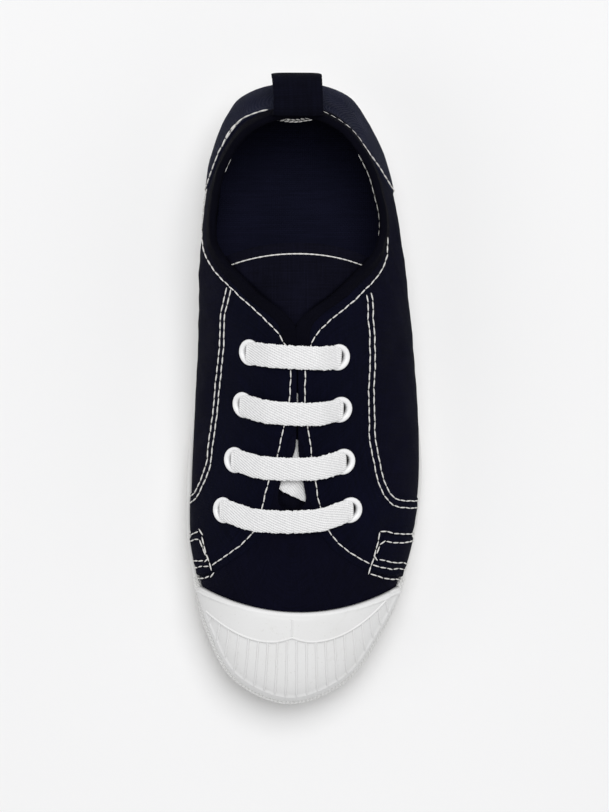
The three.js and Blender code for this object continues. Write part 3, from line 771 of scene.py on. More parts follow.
def twill_tape():
    """Twill tape over a vector in millimetres, its length along X: the slanting ribs as Height."""
    t, given, out = shader_group("twill tape", [
        ("Vector", "Vector", None), ("Rib", "Float", 1.0)], [("Height", "Float"), ("Shade", "Float")])
    split = t.add("ShaderNodeSeparateXYZ", {0: given["Vector"]}).outputs
    slope = t.math("ADD", t.math("MULTIPLY", split[0], 0.4), t.math("MULTIPLY", split[1], 0.92))
    rib = t.math("SINE", t.math("MULTIPLY", t.math("DIVIDE", slope, given["Rib"]), 2 * math.pi))
    thread = t.math("SINE", t.math("MULTIPLY", split[0], 2 * math.pi / 0.7))
    height = t.math("ADD", t.math("MULTIPLY", rib, 0.38), t.math("MULTIPLY", thread, 0.2))
    t.link(t.math("ADD", height, 0.5), out["Height"])
    fluff = t.noise(given["Vector"], 0.9, 3)
    t.link(t.math("ADD", t.math("MULTIPLY", fluff, 0.3), 0.45), out["Shade"])
    return t.tree


def surface_age():
    """Soft patches over the whole shoe and fine specks, as two values from Object coordinates."""
    t, given, out = shader_group("patches and specks", [
        ("Vector", "Vector", None), ("Patch Size", "Float", 40.0)],
        [("Patches", "Float"), ("Specks", "Float")])
    t.link(t.noise(given["Vector"], given["Patch Size"], 3, 0.6), out["Patches"])
    specks = t.ramp(t.noise(given["Vector"], 900.0, 1), 0.68, 0.76)
    t.link(specks, out["Specks"])
    return t.tree


def rubber_skin():
    """Moulded rubber: fine grain as Height and the faint scuffing as a mask."""
    t, given, out = shader_group("moulded rubber", [
        ("Vector", "Vector", None), ("Grain", "Float", 1500.0)], [("Height", "Float"), ("Scuff", "Float")])
    grain = t.noise(given["Vector"], given["Grain"], 2)
    swell = t.noise(given["Vector"], 120.0, 2)
    height = t.math("ADD", t.math("MULTIPLY", grain, 0.7), t.math("MULTIPLY", swell, 0.5))
    t.link(height, out["Height"])
    stretched = t.add("ShaderNodeMapping", {"Vector": given["Vector"], "Scale": (60, 15, 150)})
    t.link(t.ramp(t.noise(stretched.outputs[0], 2.2, 4, 0.62), 0.56, 0.74), out["Scuff"])
    return t.tree


WOVEN, TAPE, AGE, RUBBER_SKIN = woven_cloth(), twill_tape(), surface_age(), rubber_skin()


def colour(red, green, blue):
    """A colour given as screen values from 0 to 255."""
    return tuple(((c / 255 + 0.055) / 1.055) ** 2.4 if c > 10 else c / 255 / 12.92
                 for c in (red, green, blue)) + (1.0,)


def start_material(name):
    made = bpy.data.materials.new(name)
    made.use_nodes = True
    made.node_tree.nodes.clear()
    t = Tree(made.node_tree)
    shader = t.add("ShaderNodeBsdfPrincipled")
    t.add("ShaderNodeOutputMaterial", {"Surface": shader.outputs[0]})
    return made, t, shader


def group_node(t, group, inputs):
    return t.add("ShaderNodeGroup", inputs, node_tree=group).outputs


def set_bump(t, shader, height, strength, distance):
    bump = t.add("ShaderNodeBump", {"Height": height, "Strength": strength, "Distance": distance * MM})
    t.link(bump.outputs[0], shader.inputs["Normal"])


def woven_material(name, dark, light, thread=0.55, bump=0.6, rough=0.92, specular=0.12, sheen=0.0,
                   group=WOVEN, weft=0.5, patchy=0.45):
    """Cloth with its weave on the piece's own uv, in millimetres."""
    made, t, shader = start_material(name)
    cloth_uv = t.add("ShaderNodeUVMap", uv_map="cloth").outputs[0]
    place = t.add("ShaderNodeTexCoord").outputs["Object"]
    weave_inputs = {"Vector": cloth_uv}
    if group is WOVEN:
        weave_inputs["Thread"] = thread
        weave_inputs["Weft Share"] = weft
    weave = group_node(t, group, weave_inputs)
    age = group_node(t, AGE, {"Vector": place})
    tone = t.math("ADD", t.math("MULTIPLY", weave["Shade"], 1 - patchy),
                  t.math("MULTIPLY", age["Patches"], patchy))
    tone = t.ramp(tone, 0.3, 0.7)
    # The colour is darker where the weave or the ribs lie low: painted shade between the threads, over the
    # cloth's own uneven tone.
    tone_and_painted_shade = t.math("MULTIPLY", tone, t.math("ADD", t.math("MULTIPLY", weave["Height"], 0.6), 0.4))
    t.fill(shader, {
        "Base Color": t.blend(tone_and_painted_shade, dark, light),
        "Roughness": t.math("ADD", t.math("MULTIPLY", tone, 0.06), rough - 0.03),
        "Specular IOR Level": specular, "Sheen Weight": sheen, "Sheen Roughness": 0.3,
        "Sheen Tint": colour(200, 208, 235)})
    set_bump(t, shader, weave["Height"], bump, 0.25)
    return made


def rubber_material(name, base, worn, rough=0.5, grain=1500.0, bump=0.25):
    made, t, shader = start_material(name)
    place = t.add("ShaderNodeTexCoord").outputs["Object"]
    skin_look = group_node(t, RUBBER_SKIN, {"Vector": place, "Grain": grain})
    age = group_node(t, AGE, {"Vector": place, "Patch Size": 25.0})
    mask = t.math("ADD", t.math("MULTIPLY", skin_look["Scuff"], 0.35), t.math("MULTIPLY", age["Specks"], 0.5))
    mask = t.math("ADD", mask, t.ramp(age["Patches"], 0.45, 0.75, 0, 0.25))
    t.fill(shader, {
        "Base Color": t.blend(mask, base, worn),
        "Roughness": t.math("ADD", t.math("MULTIPLY", skin_look["Scuff"], 0.15), rough),
        "Specular IOR Level": 0.4})
    set_bump(t, shader, skin_look["Height"], bump, 0.12)
    return made


def thread_material():
    """Off-white cotton thread with fine fibres."""
    made, t, shader = start_material("stitching thread")
    place = t.add("ShaderNodeTexCoord").outputs["Object"]
    fibre = t.noise(place, 2600.0, 2)
    t.fill(shader, {
        "Base Color": t.blend(t.ramp(fibre, 0.3, 0.7), colour(205, 203, 200), colour(236, 235, 232)),
        "Roughness": 0.8, "Specular IOR Level": 0.25})
    set_bump(t, shader, fibre, 0.4, 0.15)
    return made


def paint_material():
    made, t, shader = start_material("painted metal")
    place = t.add("ShaderNodeTexCoord").outputs["Object"]
    age = group_node(t, AGE, {"Vector": place, "Patch Size": 300.0})
    t.fill(shader, {
        "Base Color": t.blend(t.ramp(age["Patches"], 0.55, 0.75, 0, 0.5), colour(240, 240, 241),
                              colour(214, 214, 216)),
        "Roughness": t.ramp(age["Patches"], 0.3, 0.8, 0.28, 0.42),
        "Coat Weight": 0.3, "Coat Roughness": 0.2})
    set_bump(t, shader, age["Patches"], 0.15, 0.2)
    return made


NAVY = woven_material("navy canvas", colour(7, 7, 19), colour(13, 13, 31), specular=0.05, sheen=0.015,
                      patchy=0.25)
NAVY_SIDE = woven_material("navy canvas of the quarters", colour(5, 6, 18), colour(12, 13, 32), specular=0.05,
                           sheen=0.015, patchy=0.25)
# The heel counter's canvas is a lighter copy of the navy canvas: painted light, where the heel catches the
# light from above and behind.
NAVY_HEEL_PAINTED_LIGHT = woven_material("navy canvas with painted light at the heel", colour(8, 9, 23), colour(21, 23, 45), specular=0.05,
                           sheen=0.08)
TRIM = woven_material("collar tape", colour(4, 4, 12), colour(10, 10, 21), thread=0.4, specular=0.05)
LINED = woven_material("lining", colour(7, 7, 17), colour(17, 18, 34), thread=0.45, bump=0.4, specular=0.05)
TONGUE_CLOTH = woven_material("tongue canvas", colour(8, 8, 18), colour(18, 18, 33), thread=0.6,
                              specular=0.05)
FOOTBED = woven_material("footbed cloth", colour(17, 18, 33), colour(23, 24, 42), thread=0.8, bump=0.8,
                         specular=0.05, weft=0.92)
LOOP_WEB = woven_material("loop webbing", colour(6, 6, 15), colour(15, 16, 30), thread=0.9, bump=0.9,
                          specular=0.05)
LACE_COTTON = woven_material("lace cotton", colour(208, 208, 210), colour(254, 254, 254), bump=1.0,
                             specular=0.2, group=TAPE, patchy=0.1)
THREAD = thread_material()
PAINT = paint_material()
CAP_RUBBER = rubber_material("cap rubber", colour(228, 228, 228), colour(212, 211, 208), grain=1150.0,
                             bump=0.5)
STRIP_RUBBER = rubber_material("strip rubber", colour(229, 229, 228), colour(214, 213, 209), rough=0.55)
SOLE_RUBBER = rubber_material("sole rubber", colour(226, 224, 218), colour(196, 192, 182), rough=0.6,
                              grain=900.0, bump=0.4)


# ---- finishing pieces ----------------------------------------------------------------------------
def baked(piece):
    """Applies a piece's modifiers, so that it is a plain mesh."""
    graph = bpy.context.evaluated_depsgraph_get()
    mesh = bpy.data.meshes.new_from_object(piece.evaluated_get(graph), depsgraph=graph)
    piece.modifiers.clear()
    piece.data = mesh
    mesh.name = piece.name
    return piece


def worn(piece, slot, *nodes):
    """Rides the piece on the shoe and hides the CAD nodes that it stands for; its slot is not used."""
    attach(piece, "root")
    if nodes:
        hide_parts(*nodes)
    return piece


def cut_with(piece, cutter):
    cut = piece.modifiers.new("cut", "BOOLEAN")
    cut.operation, cut.solver, cut.object = "DIFFERENCE", "EXACT", cutter
    return baked(piece)


def turned_to(normal, along):
    """Rotation with Z on the normal and X along a direction."""
    z = Vector(normal).normalized()
    x = Vector(along)
    x = (x - z * x.dot(z)).normalized()
    return Matrix((x, z.cross(x), z)).transposed()


# ---- eyelet places -------------------------------------------------------------------------------
HOLE, BARREL, FLANGE = 3.0, 0.5, 5.2     # radius, wall of the barrel, outer radius
DRILL_SIDES, RING_SIDES = 32, 40
row_count = len(LACE_ROWS["inner"])
INNER_U, INNER_V, _ = over_plan(LACE_ROWS["inner"], LACE_ROWS["y_inner"])
OUTER_U, OUTER_V, _ = over_plan(LACE_ROWS["outer"], LACE_ROWS["y_outer"])
EYE_U, EYE_V = np.concatenate([INNER_U, OUTER_U]), np.concatenate([INNER_V, OUTER_V])
EYE_NORMAL = skin_normal(EYE_U, EYE_V)
EYE_POINT = cloth(EYE_U, EYE_V, PANEL)


def hole_drills():
    """One mesh with a drill at each eyelet."""
    angles = np.linspace(0, 2 * np.pi, DRILL_SIDES, endpoint=False)
    points, faces = [], []
    for place, normal in zip(EYE_POINT, EYE_NORMAL):
        turn = np.array(turned_to(normal, (1, 0, 0)))
        low = DRILL_SIDES * len(points)
        high = low + DRILL_SIDES
        for z in (-6, 5):
            ring = np.stack([np.cos(angles), np.sin(angles), np.full(DRILL_SIDES, z)], -1)
            ring[:, :2] *= HOLE + BARREL
            points.append(ring @ turn.T + place)
        faces.append([low + k for k in range(DRILL_SIDES - 1, -1, -1)])
        faces.append([high + k for k in range(DRILL_SIDES)])
        for k in range(DRILL_SIDES):
            n = (k + 1) % DRILL_SIDES
            faces.append([low + k, low + n, high + n, high + k])
    return placed("hole drills", bare_mesh("hole drills", np.vstack(points), faces=faces))


# ---- upper ---------------------------------------------------------------------------------------
STEP_COLUMNS = 16            # columns of the mesh for each step of u
COLUMNS = ROUND * STEP_COLUMNS


def upper_shell(drills):
    """The hollow canvas upper: outer face, rim and lining in one closed wall."""
    outer_v = np.concatenate([[0, 0.25], np.linspace(STRIP_V, 1, 9)[:-1], np.linspace(1, 2, 52)])
    inner_v = np.concatenate([np.linspace(2, 1, 26), np.linspace(1, 0, 8)[1:]])
    u = np.arange(COLUMNS) / STEP_COLUMNS
    outside = cloth(u[None, :], outer_v[:, None], 0.0)
    inside = cloth(u[None, :], inner_v[:, None], -WALL)
    low = inner_v[:, None] < STRIP_V
    inside = np.where(low[..., None], offset_skin(u[None, :], inner_v[:, None], -WALL), inside)
    grid = np.concatenate([outside, inside])
    slots = np.concatenate([np.zeros(len(outer_v), int), np.ones(len(inner_v), int)])
    girth_run = arc_lengths(skin(np.arange(COLUMNS + 1) / STEP_COLUMNS, 1.0))
    closed = np.concatenate([grid, grid[:1]])[:, np.arange(COLUMNS + 1) % COLUMNS]
    up_run = arc_lengths(closed.transpose(1, 0, 2)).T
    uv = np.stack([np.broadcast_to(girth_run, up_run.shape), up_run], -1)
    piece = grid_piece("upper_canvas", grid, [NAVY, LINED], True, True, uv, slots)
    return worn(cut_with(piece, drills), "canvas", "upper")


TIP_U = 7.2                  # where the collar's edge reaches the top of the slit
BINDING_DEPTH = 5.2


def distance_below_edge(u, distances):
    """v at distances below the upper's edge, for each u: rows are distances, columns are u."""
    v = np.linspace(2, 1.0, 241)
    run = arc_lengths(skin(u[:, None], v[None, :]))
    return np.stack([np.array([np.interp(d, r, v) for r in run]) for d in distances])


def collar_binding():
    """Tape folded over the collar's edge, from one side of the slit's top round the heel to the other."""
    u = np.linspace(-TIP_U, TIP_U, 330)
    across = [BINDING_DEPTH, BINDING_DEPTH - 0.25, BINDING_DEPTH - 0.8, 3.4, 2.2, 1.1, 0.3]
    v_out = distance_below_edge(u, across)
    out_heights = np.array([-0.1, 0.35, 0.62, 0.6, 0.6, 0.58, 0.45])
    outside = [cloth(u, v, np.full(u.shape, PANEL * 0.6 + h)) for v, h in zip(v_out, out_heights)]
    edge_point = cloth(u, np.full(u.shape, 2.0), 0.0)
    normal = skin_normal(u, np.full(u.shape, 2.0))
    up = unit(skin(u, np.full(u.shape, 2.0)) - skin(u, np.full(u.shape, 1.97)))
    rim = [edge_point + normal * n + up * h
           for n, h in ((0.75, 0.2), (0.3, 0.75), (-0.6, 1.0), (-1.5, 0.85), (-2.2, 0.3))]
    inside = [cloth(u, v, np.full(u.shape, -WALL - h))
              for v, h in zip(v_out[::-1], (0.5, 0.55, 0.55, 0.55, 0.55, 0.4, 0.0))]
    middle = [cloth(u, v, np.full(u.shape, -0.9)) for v in (v_out[0], v_out[3], v_out[5])]
    grid = np.stack(outside + rim + inside + middle)
    run = arc_lengths(edge_point)
    closed = np.concatenate([grid, grid[:1]])
    up_run = arc_lengths(closed.transpose(1, 0, 2)).T
    uv = np.stack([np.broadcast_to(run, up_run.shape), up_run], -1)
    piece = grid_piece("collar_binding", grid, [TRIM], close_rows=True, uv=uv, caps=True)
    return worn(piece, "canvas")


# how far each panel's border lies outside its stitch line; the vamp's along its run
QUARTER_HEM, COUNTER_HEM, PATCH_HEM = 1.4, 1.3, 1.2
VAMP_HEM = np.array([2.4, 2.6, 3.0, 3.4, 3.4, 2.8, 2.6])
PATCH_SIDE = 0.38            # share of a patch's seam that runs up each of its sides


def eyelet_panel(name, quarter, vamp, side, drills):
    """Panel with the eyelets on one side: over the quarter behind it and the vamp before it."""
    count = 190
    back = quarter.moved(side * QUARTER_HEM)
    front = vamp.moved(side * -VAMP_HEM)
    back_uv, front_uv = back.even(count), front.even(count)
    fu, fv = front_uv
    start = np.linspace(0, 1, count)
    # beside the narrow slit the nearest skin can be the other facing's, so u is the seam's own there
    fu = mix(fu, vamp.even(count)[0], smooth((0.2 - start) / 0.04))
    # the part beside the slit keeps to the slit's edge
    edge_reach = smooth((0.30 - start) / 0.04)
    fv = mix(fv, 2.0, edge_reach)
    bu, bv = back_uv
    bv = mix(bv, 2.0, smooth((0.03 - start) / 0.03))
    piece = panel(name, (bu, bv), (fu, fv), PANEL, NAVY_SIDE, 1.6)
    return worn(cut_with(piece, drills), "canvas")


def counter_patch():
    """Heel panel over the quarters, bounded by its two seams and the collar."""
    outer = COUNTER_OUTER.moved(-COUNTER_HEM)
    inner = COUNTER_INNER.moved(COUNTER_HEM)
    count = 60
    inner_u, inner_v = inner.even(count)
    piece = panel("heel_counter", (inner_u - ROUND, inner_v), outer.even(count), PANEL, NAVY_HEEL_PAINTED_LIGHT, 1.6)
    return worn(piece, "canvas")


def side_patch(name, route, base):
    """Small four-sided patch over the end of the vamp seam."""
    count = 24
    route = route.moved(PATCH_HEM if route.points[0, 0] > 0 else -PATCH_HEM)
    s = np.linspace(0, 1, count)
    # the route runs up one side, along the top and down the other side
    up = route.uv_at(s * route.length * PATCH_SIDE)
    down = route.uv_at(route.length * (1 - s * PATCH_SIDE))
    return worn(panel(name, up, down, PANEL, NAVY_SIDE, 1.2, base), "canvas")


# ---- tongue --------------------------------------------------------------------------------------
TONGUE_TOP_Y = -34.2
TONGUE_TOP_CURL = 5.0        # how much nearer the toe the corners of its free edge are
HEM_DEPTH, HEM_SEAM = 5.4, 4.4           # the folded hem, and its stitches, from that edge
HEM_RAISE = 0.45


def tongue_end(w):
    """y of the tongue's free edge; w runs from -1 to 1 across it."""
    return TONGUE_TOP_Y - TONGUE_TOP_CURL * np.abs(w) ** 2.2


def tongue_top(x, y):
    """Height of the tongue's top face at places in plan."""
    shape = np.shape(x)
    x, y = np.ravel(x).astype(float), np.ravel(y).astype(float)
    t = np.interp(y, TONGUE["y"], np.arange(len(TONGUE["y"])))
    inner, outer, z, drop = (read_row(TONGUE[n], t) for n in ("inner", "outer", "z", "drop"))
    w = (x - (inner + outer) / 2) / ((outer - inner) / 2)
    arch = z - drop * np.abs(w) ** TONGUE_ARCH
    u, v, miss = over_plan(x, y)
    canvas_under = skin(u, v)[:, 2] - (WALL + TONGUE_ROOM) / np.maximum(0.3, skin_normal(u, v)[:, 2])
    blocked = smooth((2.5 - miss) / 2.5)
    room = np.where(miss > 2.5, arch, mix(arch, np.minimum(arch, canvas_under), blocked))
    return np.minimum(arch, room).reshape(shape)


def tongue():
    """Canvas tongue of two layers, with a hem folded over its free edge."""
    rows, columns = 190, 74
    s = np.linspace(0, 1, rows)[:, None]
    w = np.linspace(-1, 1, columns)[None, :]
    end_y = tongue_end(w)
    y = mix(TONGUE["y"][0], end_y, s)
    t = np.interp(y, TONGUE["y"], np.arange(len(TONGUE["y"])))
    inner, outer = read_row(TONGUE["inner"], t), read_row(TONGUE["outer"], t)
    x = (inner + outer) / 2 + (outer - inner) / 2 * w
    z = tongue_top(x, y)
    border = np.minimum((1 - np.abs(w)) * (outer - inner) / 2, end_y - y)
    round_off = 0.8 * (1 - smooth(border / 1.3))
    hem = HEM_RAISE * smooth((y - (end_y - HEM_DEPTH)) / 0.7)
    stitch_dip = -0.25 * ridge(y - (end_y - HEM_SEAM), 1.2)
    soft = 0.35 * waves(np.stack([x, y, z], -1), 22, 3.0)
    top = np.stack([x, y, z + hem + stitch_dip - round_off + soft], -1)
    under = np.stack([x, y, z - TONGUE_THICK + round_off + soft], -1)
    uv = np.stack([x, y], -1)
    piece = slab_piece("tongue_canvas", top, under, [TONGUE_CLOTH], uv)
    return worn(piece, "canvas", "tongue")


# ---- sole ----------------------------------------------------------------------------------------
def foot_bed(y):
    return mix(FOOTBED_BALL, FOOTBED_HEEL, smooth((y - SPRING_FROM) / 120)) + spring(y)


EDGE_PRESS = 0.5             # how far the footbed's edge is pressed into the lining
HEEL_GROOVES = np.linspace(17, -31, 5)
BALL_GROOVES = np.linspace(-106, -196, 9)

# The strip's outer face as share of the way up and set-in: a moulded line runs round it low down and
# a second below the top.  The shoulder over it is given as set-in and drop.
STRIP_FACE = ((0.14, 0), (0.17, 0.35), (0.2, 0.35), (0.23, 0), (0.4, -0.05), (0.55, -0.05),
              (0.72, 0), (0.75, 0.35), (0.78, 0.35), (0.81, 0), (0.9, 0.0), (0.94, 0.1))
STRIP_SHOULDER = ((0.3, 0.55), (0.6, 0.25), (1.0, 0.06), (1.5, 0.0))


def ring_pair(u_count):
    """u of the outer side from heel to toe, and of the inner side opposite each."""
    u = np.linspace(0, TOE_U, u_count)
    return u, -u


def footbed():
    """Insole: cloth over a thin foam, dished under the foot."""
    u, opposite = ring_pair(170)
    ox, oy = foot_line(u, -WALL + EDGE_PRESS)
    ix, iy = foot_line(opposite % ROUND, -WALL + EDGE_PRESS)
    w = np.linspace(0, 1, 44)[:, None]
    x, y = ix + (ox - ix) * w, iy + (oy - iy) * w
    reach = np.minimum(w, 1 - w) * np.abs(ox - ix)
    dish = 1.0 * smooth(reach / 12)
    z = foot_bed(y) + 0.2 - dish + 0.12 * waves(np.stack([x, y, x * 0], -1), 30, 1.0)
    top = np.stack([x, y, z], -1)
    under = np.stack([x, y, OUTSOLE_TOP + GAP + spring(y)], -1)
    piece = slab_piece("footbed", top, under, [FOOTBED], np.stack([x, y], -1))
    return worn(piece, "lining", "insole")


def foxing_strip():
    """Side strip glued round the sole, swelling into the bumper at the toe."""
    u = np.arange(COLUMNS) / STEP_COLUMNS
    y = girth["y"](u)
    lean = BUMPER_LEAN * bumper(y)
    top = strip_top(y)
    thick = GAP + strip_thick(y)
    bottom = OUTSOLE_TOP + GAP

    def foot_ring(out):
        x, py = foot_line(u, out)
        return np.stack([x, py, bottom + spring(py)], -1)

    def wall(share, inset):
        """A ring on the outer wall, share of the way up, set in by an amount."""
        x, py = foot_line(u, thick - lean * 0.7 * share - inset)
        return np.stack([x, py, mix(bottom + spring(py), top, share)], -1)

    rings = [foot_ring(GAP), foot_ring(thick - 0.5), wall(0.04, 0.0)]
    rings += [wall(share, inset) for share, inset in STRIP_FACE]
    for inset, down in STRIP_SHOULDER:
        x, py = foot_line(u, thick - lean - inset + 0.1)
        rings.append(np.stack([x, py, top - down], -1))
    x, py = foot_line(u, GAP)
    rings.append(np.stack([x, py, top - 0.05], -1))
    grid = np.stack(rings)
    piece = grid_piece("side_strip", grid, [STRIP_RUBBER], True, True)
    return worn(piece, "rubber", "foxing")


def tread_grooves():
    """Bars that cut the tread's grooves, as one mesh."""
    points, faces = [], []
    for y in np.concatenate([HEEL_GROOVES, BALL_GROOVES]):
        side = np.linspace(0, TOE_U, 900)
        ox, oy = sole_line(side, -6)
        ix, iy = sole_line((-side) % ROUND, -6)
        x1, x2 = ox[np.argmin(np.abs(oy - y))], ix[np.argmin(np.abs(iy - y))]
        z = spring(y)
        first = len(points)
        for x in (x2, x1):
            points += [(x, y - 1.5, z - 2), (x, y + 1.5, z - 2), (x, y + 1.1, z + 1.6), (x, y - 1.1, z + 1.6)]
        faces += [[first + k for k in f] for f in (
            (0, 1, 2, 3), (7, 6, 5, 4), (0, 4, 5, 1), (1, 5, 6, 2), (2, 6, 7, 3), (3, 7, 4, 0))]
    faces = [f[::-1] for f in faces]
    return placed("tread grooves", bare_mesh("tread grooves", points, faces=faces))


def outsole():
    """Flat rubber sole with grooves across the heel and the ball, arched a little between them."""
    u, opposite = ring_pair(200)
    w = np.linspace(0, 1, 40)[:, None]

    def sheet(inset, height):
        ox, oy = sole_line(u, -inset)
        ix, iy = sole_line(opposite % ROUND, -inset)
        x, y = ix + (ox - ix) * w, iy + (oy - iy) * w
        return np.stack([x, y, height(x, y)], -1)

    def arch(y):
        from_middle = (y - (ARCH_FROM + ARCH_TO) / 2) / ((ARCH_FROM - ARCH_TO) / 2)
        return ARCH_RISE * np.maximum(0, 1 - from_middle ** 2)

    top = sheet(0, lambda x, y: OUTSOLE_TOP + spring(y))
    bottom = sheet(1, lambda x, y: spring(y) + arch(y))
    piece = slab_piece("outsole_rubber", top, bottom, [SOLE_RUBBER], top[..., :2])
    grooves = tread_grooves()
    cut_with(piece, grooves)
    bpy.data.objects.remove(grooves)
    return worn(piece, "rubber", "outsole")


# ---- toe cap -------------------------------------------------------------------------------------
CAP_TOP = CAP_GAP + CAP_THICK
CAP_MIDDLE = -1.5            # x of the thin ridge down the middle
RIB_PITCH = 3.8
RIB_FOOT_Z = 32.6            # height at which the ribs end above the bumper
RIB_RADIUS, RIB_RAISE = 0.42, 0.16
SCALLOP_RADIUS = 0.5
# the line where the ribs end: its place at the middle, and the depth and half width of each bow
SCALLOP_Y, SCALLOP_DEPTH, SCALLOP_BOW = -189.2, 1.7, 7.5
SCALLOP_CURL = 0.0196        # how it bends back towards the heel beyond the bows
STUD_PITCH, STUD_LENGTH, STUD_WIDTH, STUD_HEIGHT = 1.6, 1.8, 0.95, 1.0
# each row of studs: share of the bumper's lean, set-in, drop, and how far the studs face up
STUD_ROWS = ((0.55, 0.0, 4.2, 0.0), (0.6, 0.0, 2.6, 0.15), (0.7, 0.1, 1.1, 0.4), (1.0, 0.3, 0.3, 0.8),
             (1.0, 1.35, 0.05, 1.0))


def cap_back_line(x):
    return CAP_BACK_Y + CAP_CURL * (x - CAP_BACK_X) ** 2


def scallop_line(x):
    """y of the line where the ribs end: two shallow bows that meet on the middle ridge."""
    a = np.abs(x - CAP_MIDDLE)
    bow = SCALLOP_Y - SCALLOP_DEPTH * np.sin(np.pi * a / (2 * SCALLOP_BOW))
    beyond = SCALLOP_Y - SCALLOP_DEPTH + SCALLOP_CURL * (a - SCALLOP_BOW) ** 2
    return np.where(a < SCALLOP_BOW, bow, beyond)


def cap_relief(points):
    """Height of the cap's moulding above its plain face."""
    x, y = points[..., 0], points[..., 1]
    slope = 2 * CAP_CURL * (x - CAP_BACK_X)
    from_back = (cap_back_line(x) - y) / np.sqrt(1 + slope ** 2)
    rim = 0.55 * (1 - smooth((np.abs(from_back - 0.8) - 0.2) / 0.6))
    inside_ribs = smooth((scallop_line(x) - y) / 0.8)
    front = smooth((points[..., 2] - 32.5) / 1.2)
    return rim + 0.45 * (1 - inside_ribs * front)


def toe_cap():
    u_all = np.linspace(TOE_U - 4, TOE_U + 4, 1200)
    low, high = np.full(u_all.shape, STRIP_V + 0.08), np.full(u_all.shape, 2.0)
    at_low = skin(u_all, low)
    valid = at_low[:, 1] < cap_back_line(at_low[:, 0])
    for _ in range(30):
        middle = (low + high) / 2
        p = skin(u_all, middle)
        beyond = p[:, 1] > cap_back_line(p[:, 0])
        high, low = np.where(beyond, middle, high), np.where(beyond, low, middle)
    keep = np.flatnonzero(valid & (low > STRIP_V + 0.12))
    u = np.interp(np.linspace(0, 1, 300), np.linspace(0, 1, len(keep)), u_all[keep])
    back = np.interp(u, u_all[keep], low[keep])
    share = np.concatenate([np.linspace(0, 0.2, 12)[:-1], np.linspace(0.2, 1, 110)])[:, None]
    v = mix(UNDER_STRIP_V, back[None, :], share)
    u = np.broadcast_to(u, v.shape)
    base = skin(u, v)
    reach = np.abs(back[None, :] - v) * 40
    ends = np.minimum(np.arange(300), np.arange(300)[::-1])[None, :] * 0.35
    round_off = 0.9 * (1 - smooth(np.minimum(reach, ends) / 1.1))
    top = offset_skin(u, v, CAP_TOP + cap_relief(base) - round_off)
    under = offset_skin(u, v, np.full(v.shape, CAP_GAP - 0.2))
    piece = slab_piece("cap_rubber", top, under, [CAP_RUBBER], base[..., :2])
    return worn(piece, "rubber", "toe_cap")


def lines_piece(name, lines):
    """Loose edges along rows of points, for the curve tools."""
    points, edges = [], []
    for line in lines:
        first = len(points)
        points += line.tolist()
        edges += [(first + k, first + k + 1) for k in range(len(line) - 1)]
    return placed(name, bare_mesh(name, points, edges))


def geometry_group(name, inputs):
    tree = bpy.data.node_groups.new(name, "GeometryNodeTree")
    tree.interface.new_socket("Geometry", in_out="INPUT", socket_type="NodeSocketGeometry")
    for label, kind in inputs:
        tree.interface.new_socket(label, in_out="INPUT", socket_type="NodeSocket" + kind)
    tree.interface.new_socket("Geometry", in_out="OUTPUT", socket_type="NodeSocketGeometry")
    t = Tree(tree)
    return t, t.add("NodeGroupInput").outputs, t.add("NodeGroupOutput").inputs


def apply_nodes(piece, tree, values):
    """Runs a geometry tree on a piece with these named inputs, and keeps the plain mesh."""
    modifier = piece.modifiers.new(tree.name, "NODES")
    modifier.node_group = tree
    for item in tree.interface.items_tree:
        if item.in_out == "INPUT" and item.name in values:
            modifier[item.identifier] = values[item.name]
    return baked(piece)


def finish_tree(t, shape, material, out):
    """The end of a geometry tree: instances made real, smooth faces and the material."""
    plain = t.add("GeometryNodeRealizeInstances", {0: shape}).outputs[0]
    soft = t.add("GeometryNodeSetShadeSmooth", {"Geometry": plain}).outputs[0]
    painted = t.add("GeometryNodeSetMaterial", {"Geometry": soft, "Material": material}).outputs[0]
    t.link(painted, out["Geometry"])
    return t.tree


def raised_line_tree():
    """Half-sunk round bead along every line of the input."""
    t, given, out = geometry_group("raised line", [("Radius", "Float"), ("Material", "Material")])
    curve = t.add("GeometryNodeMeshToCurve", {0: given["Geometry"]}).outputs[0]
    round_section = t.add("GeometryNodeCurvePrimitiveCircle", {"Resolution": 10, "Radius": given["Radius"]})
    bead = t.add("GeometryNodeCurveToMesh", {"Curve": curve, "Profile Curve": round_section.outputs[0],
                                             "Fill Caps": True}).outputs[0]
    return finish_tree(t, bead, given["Material"], out)


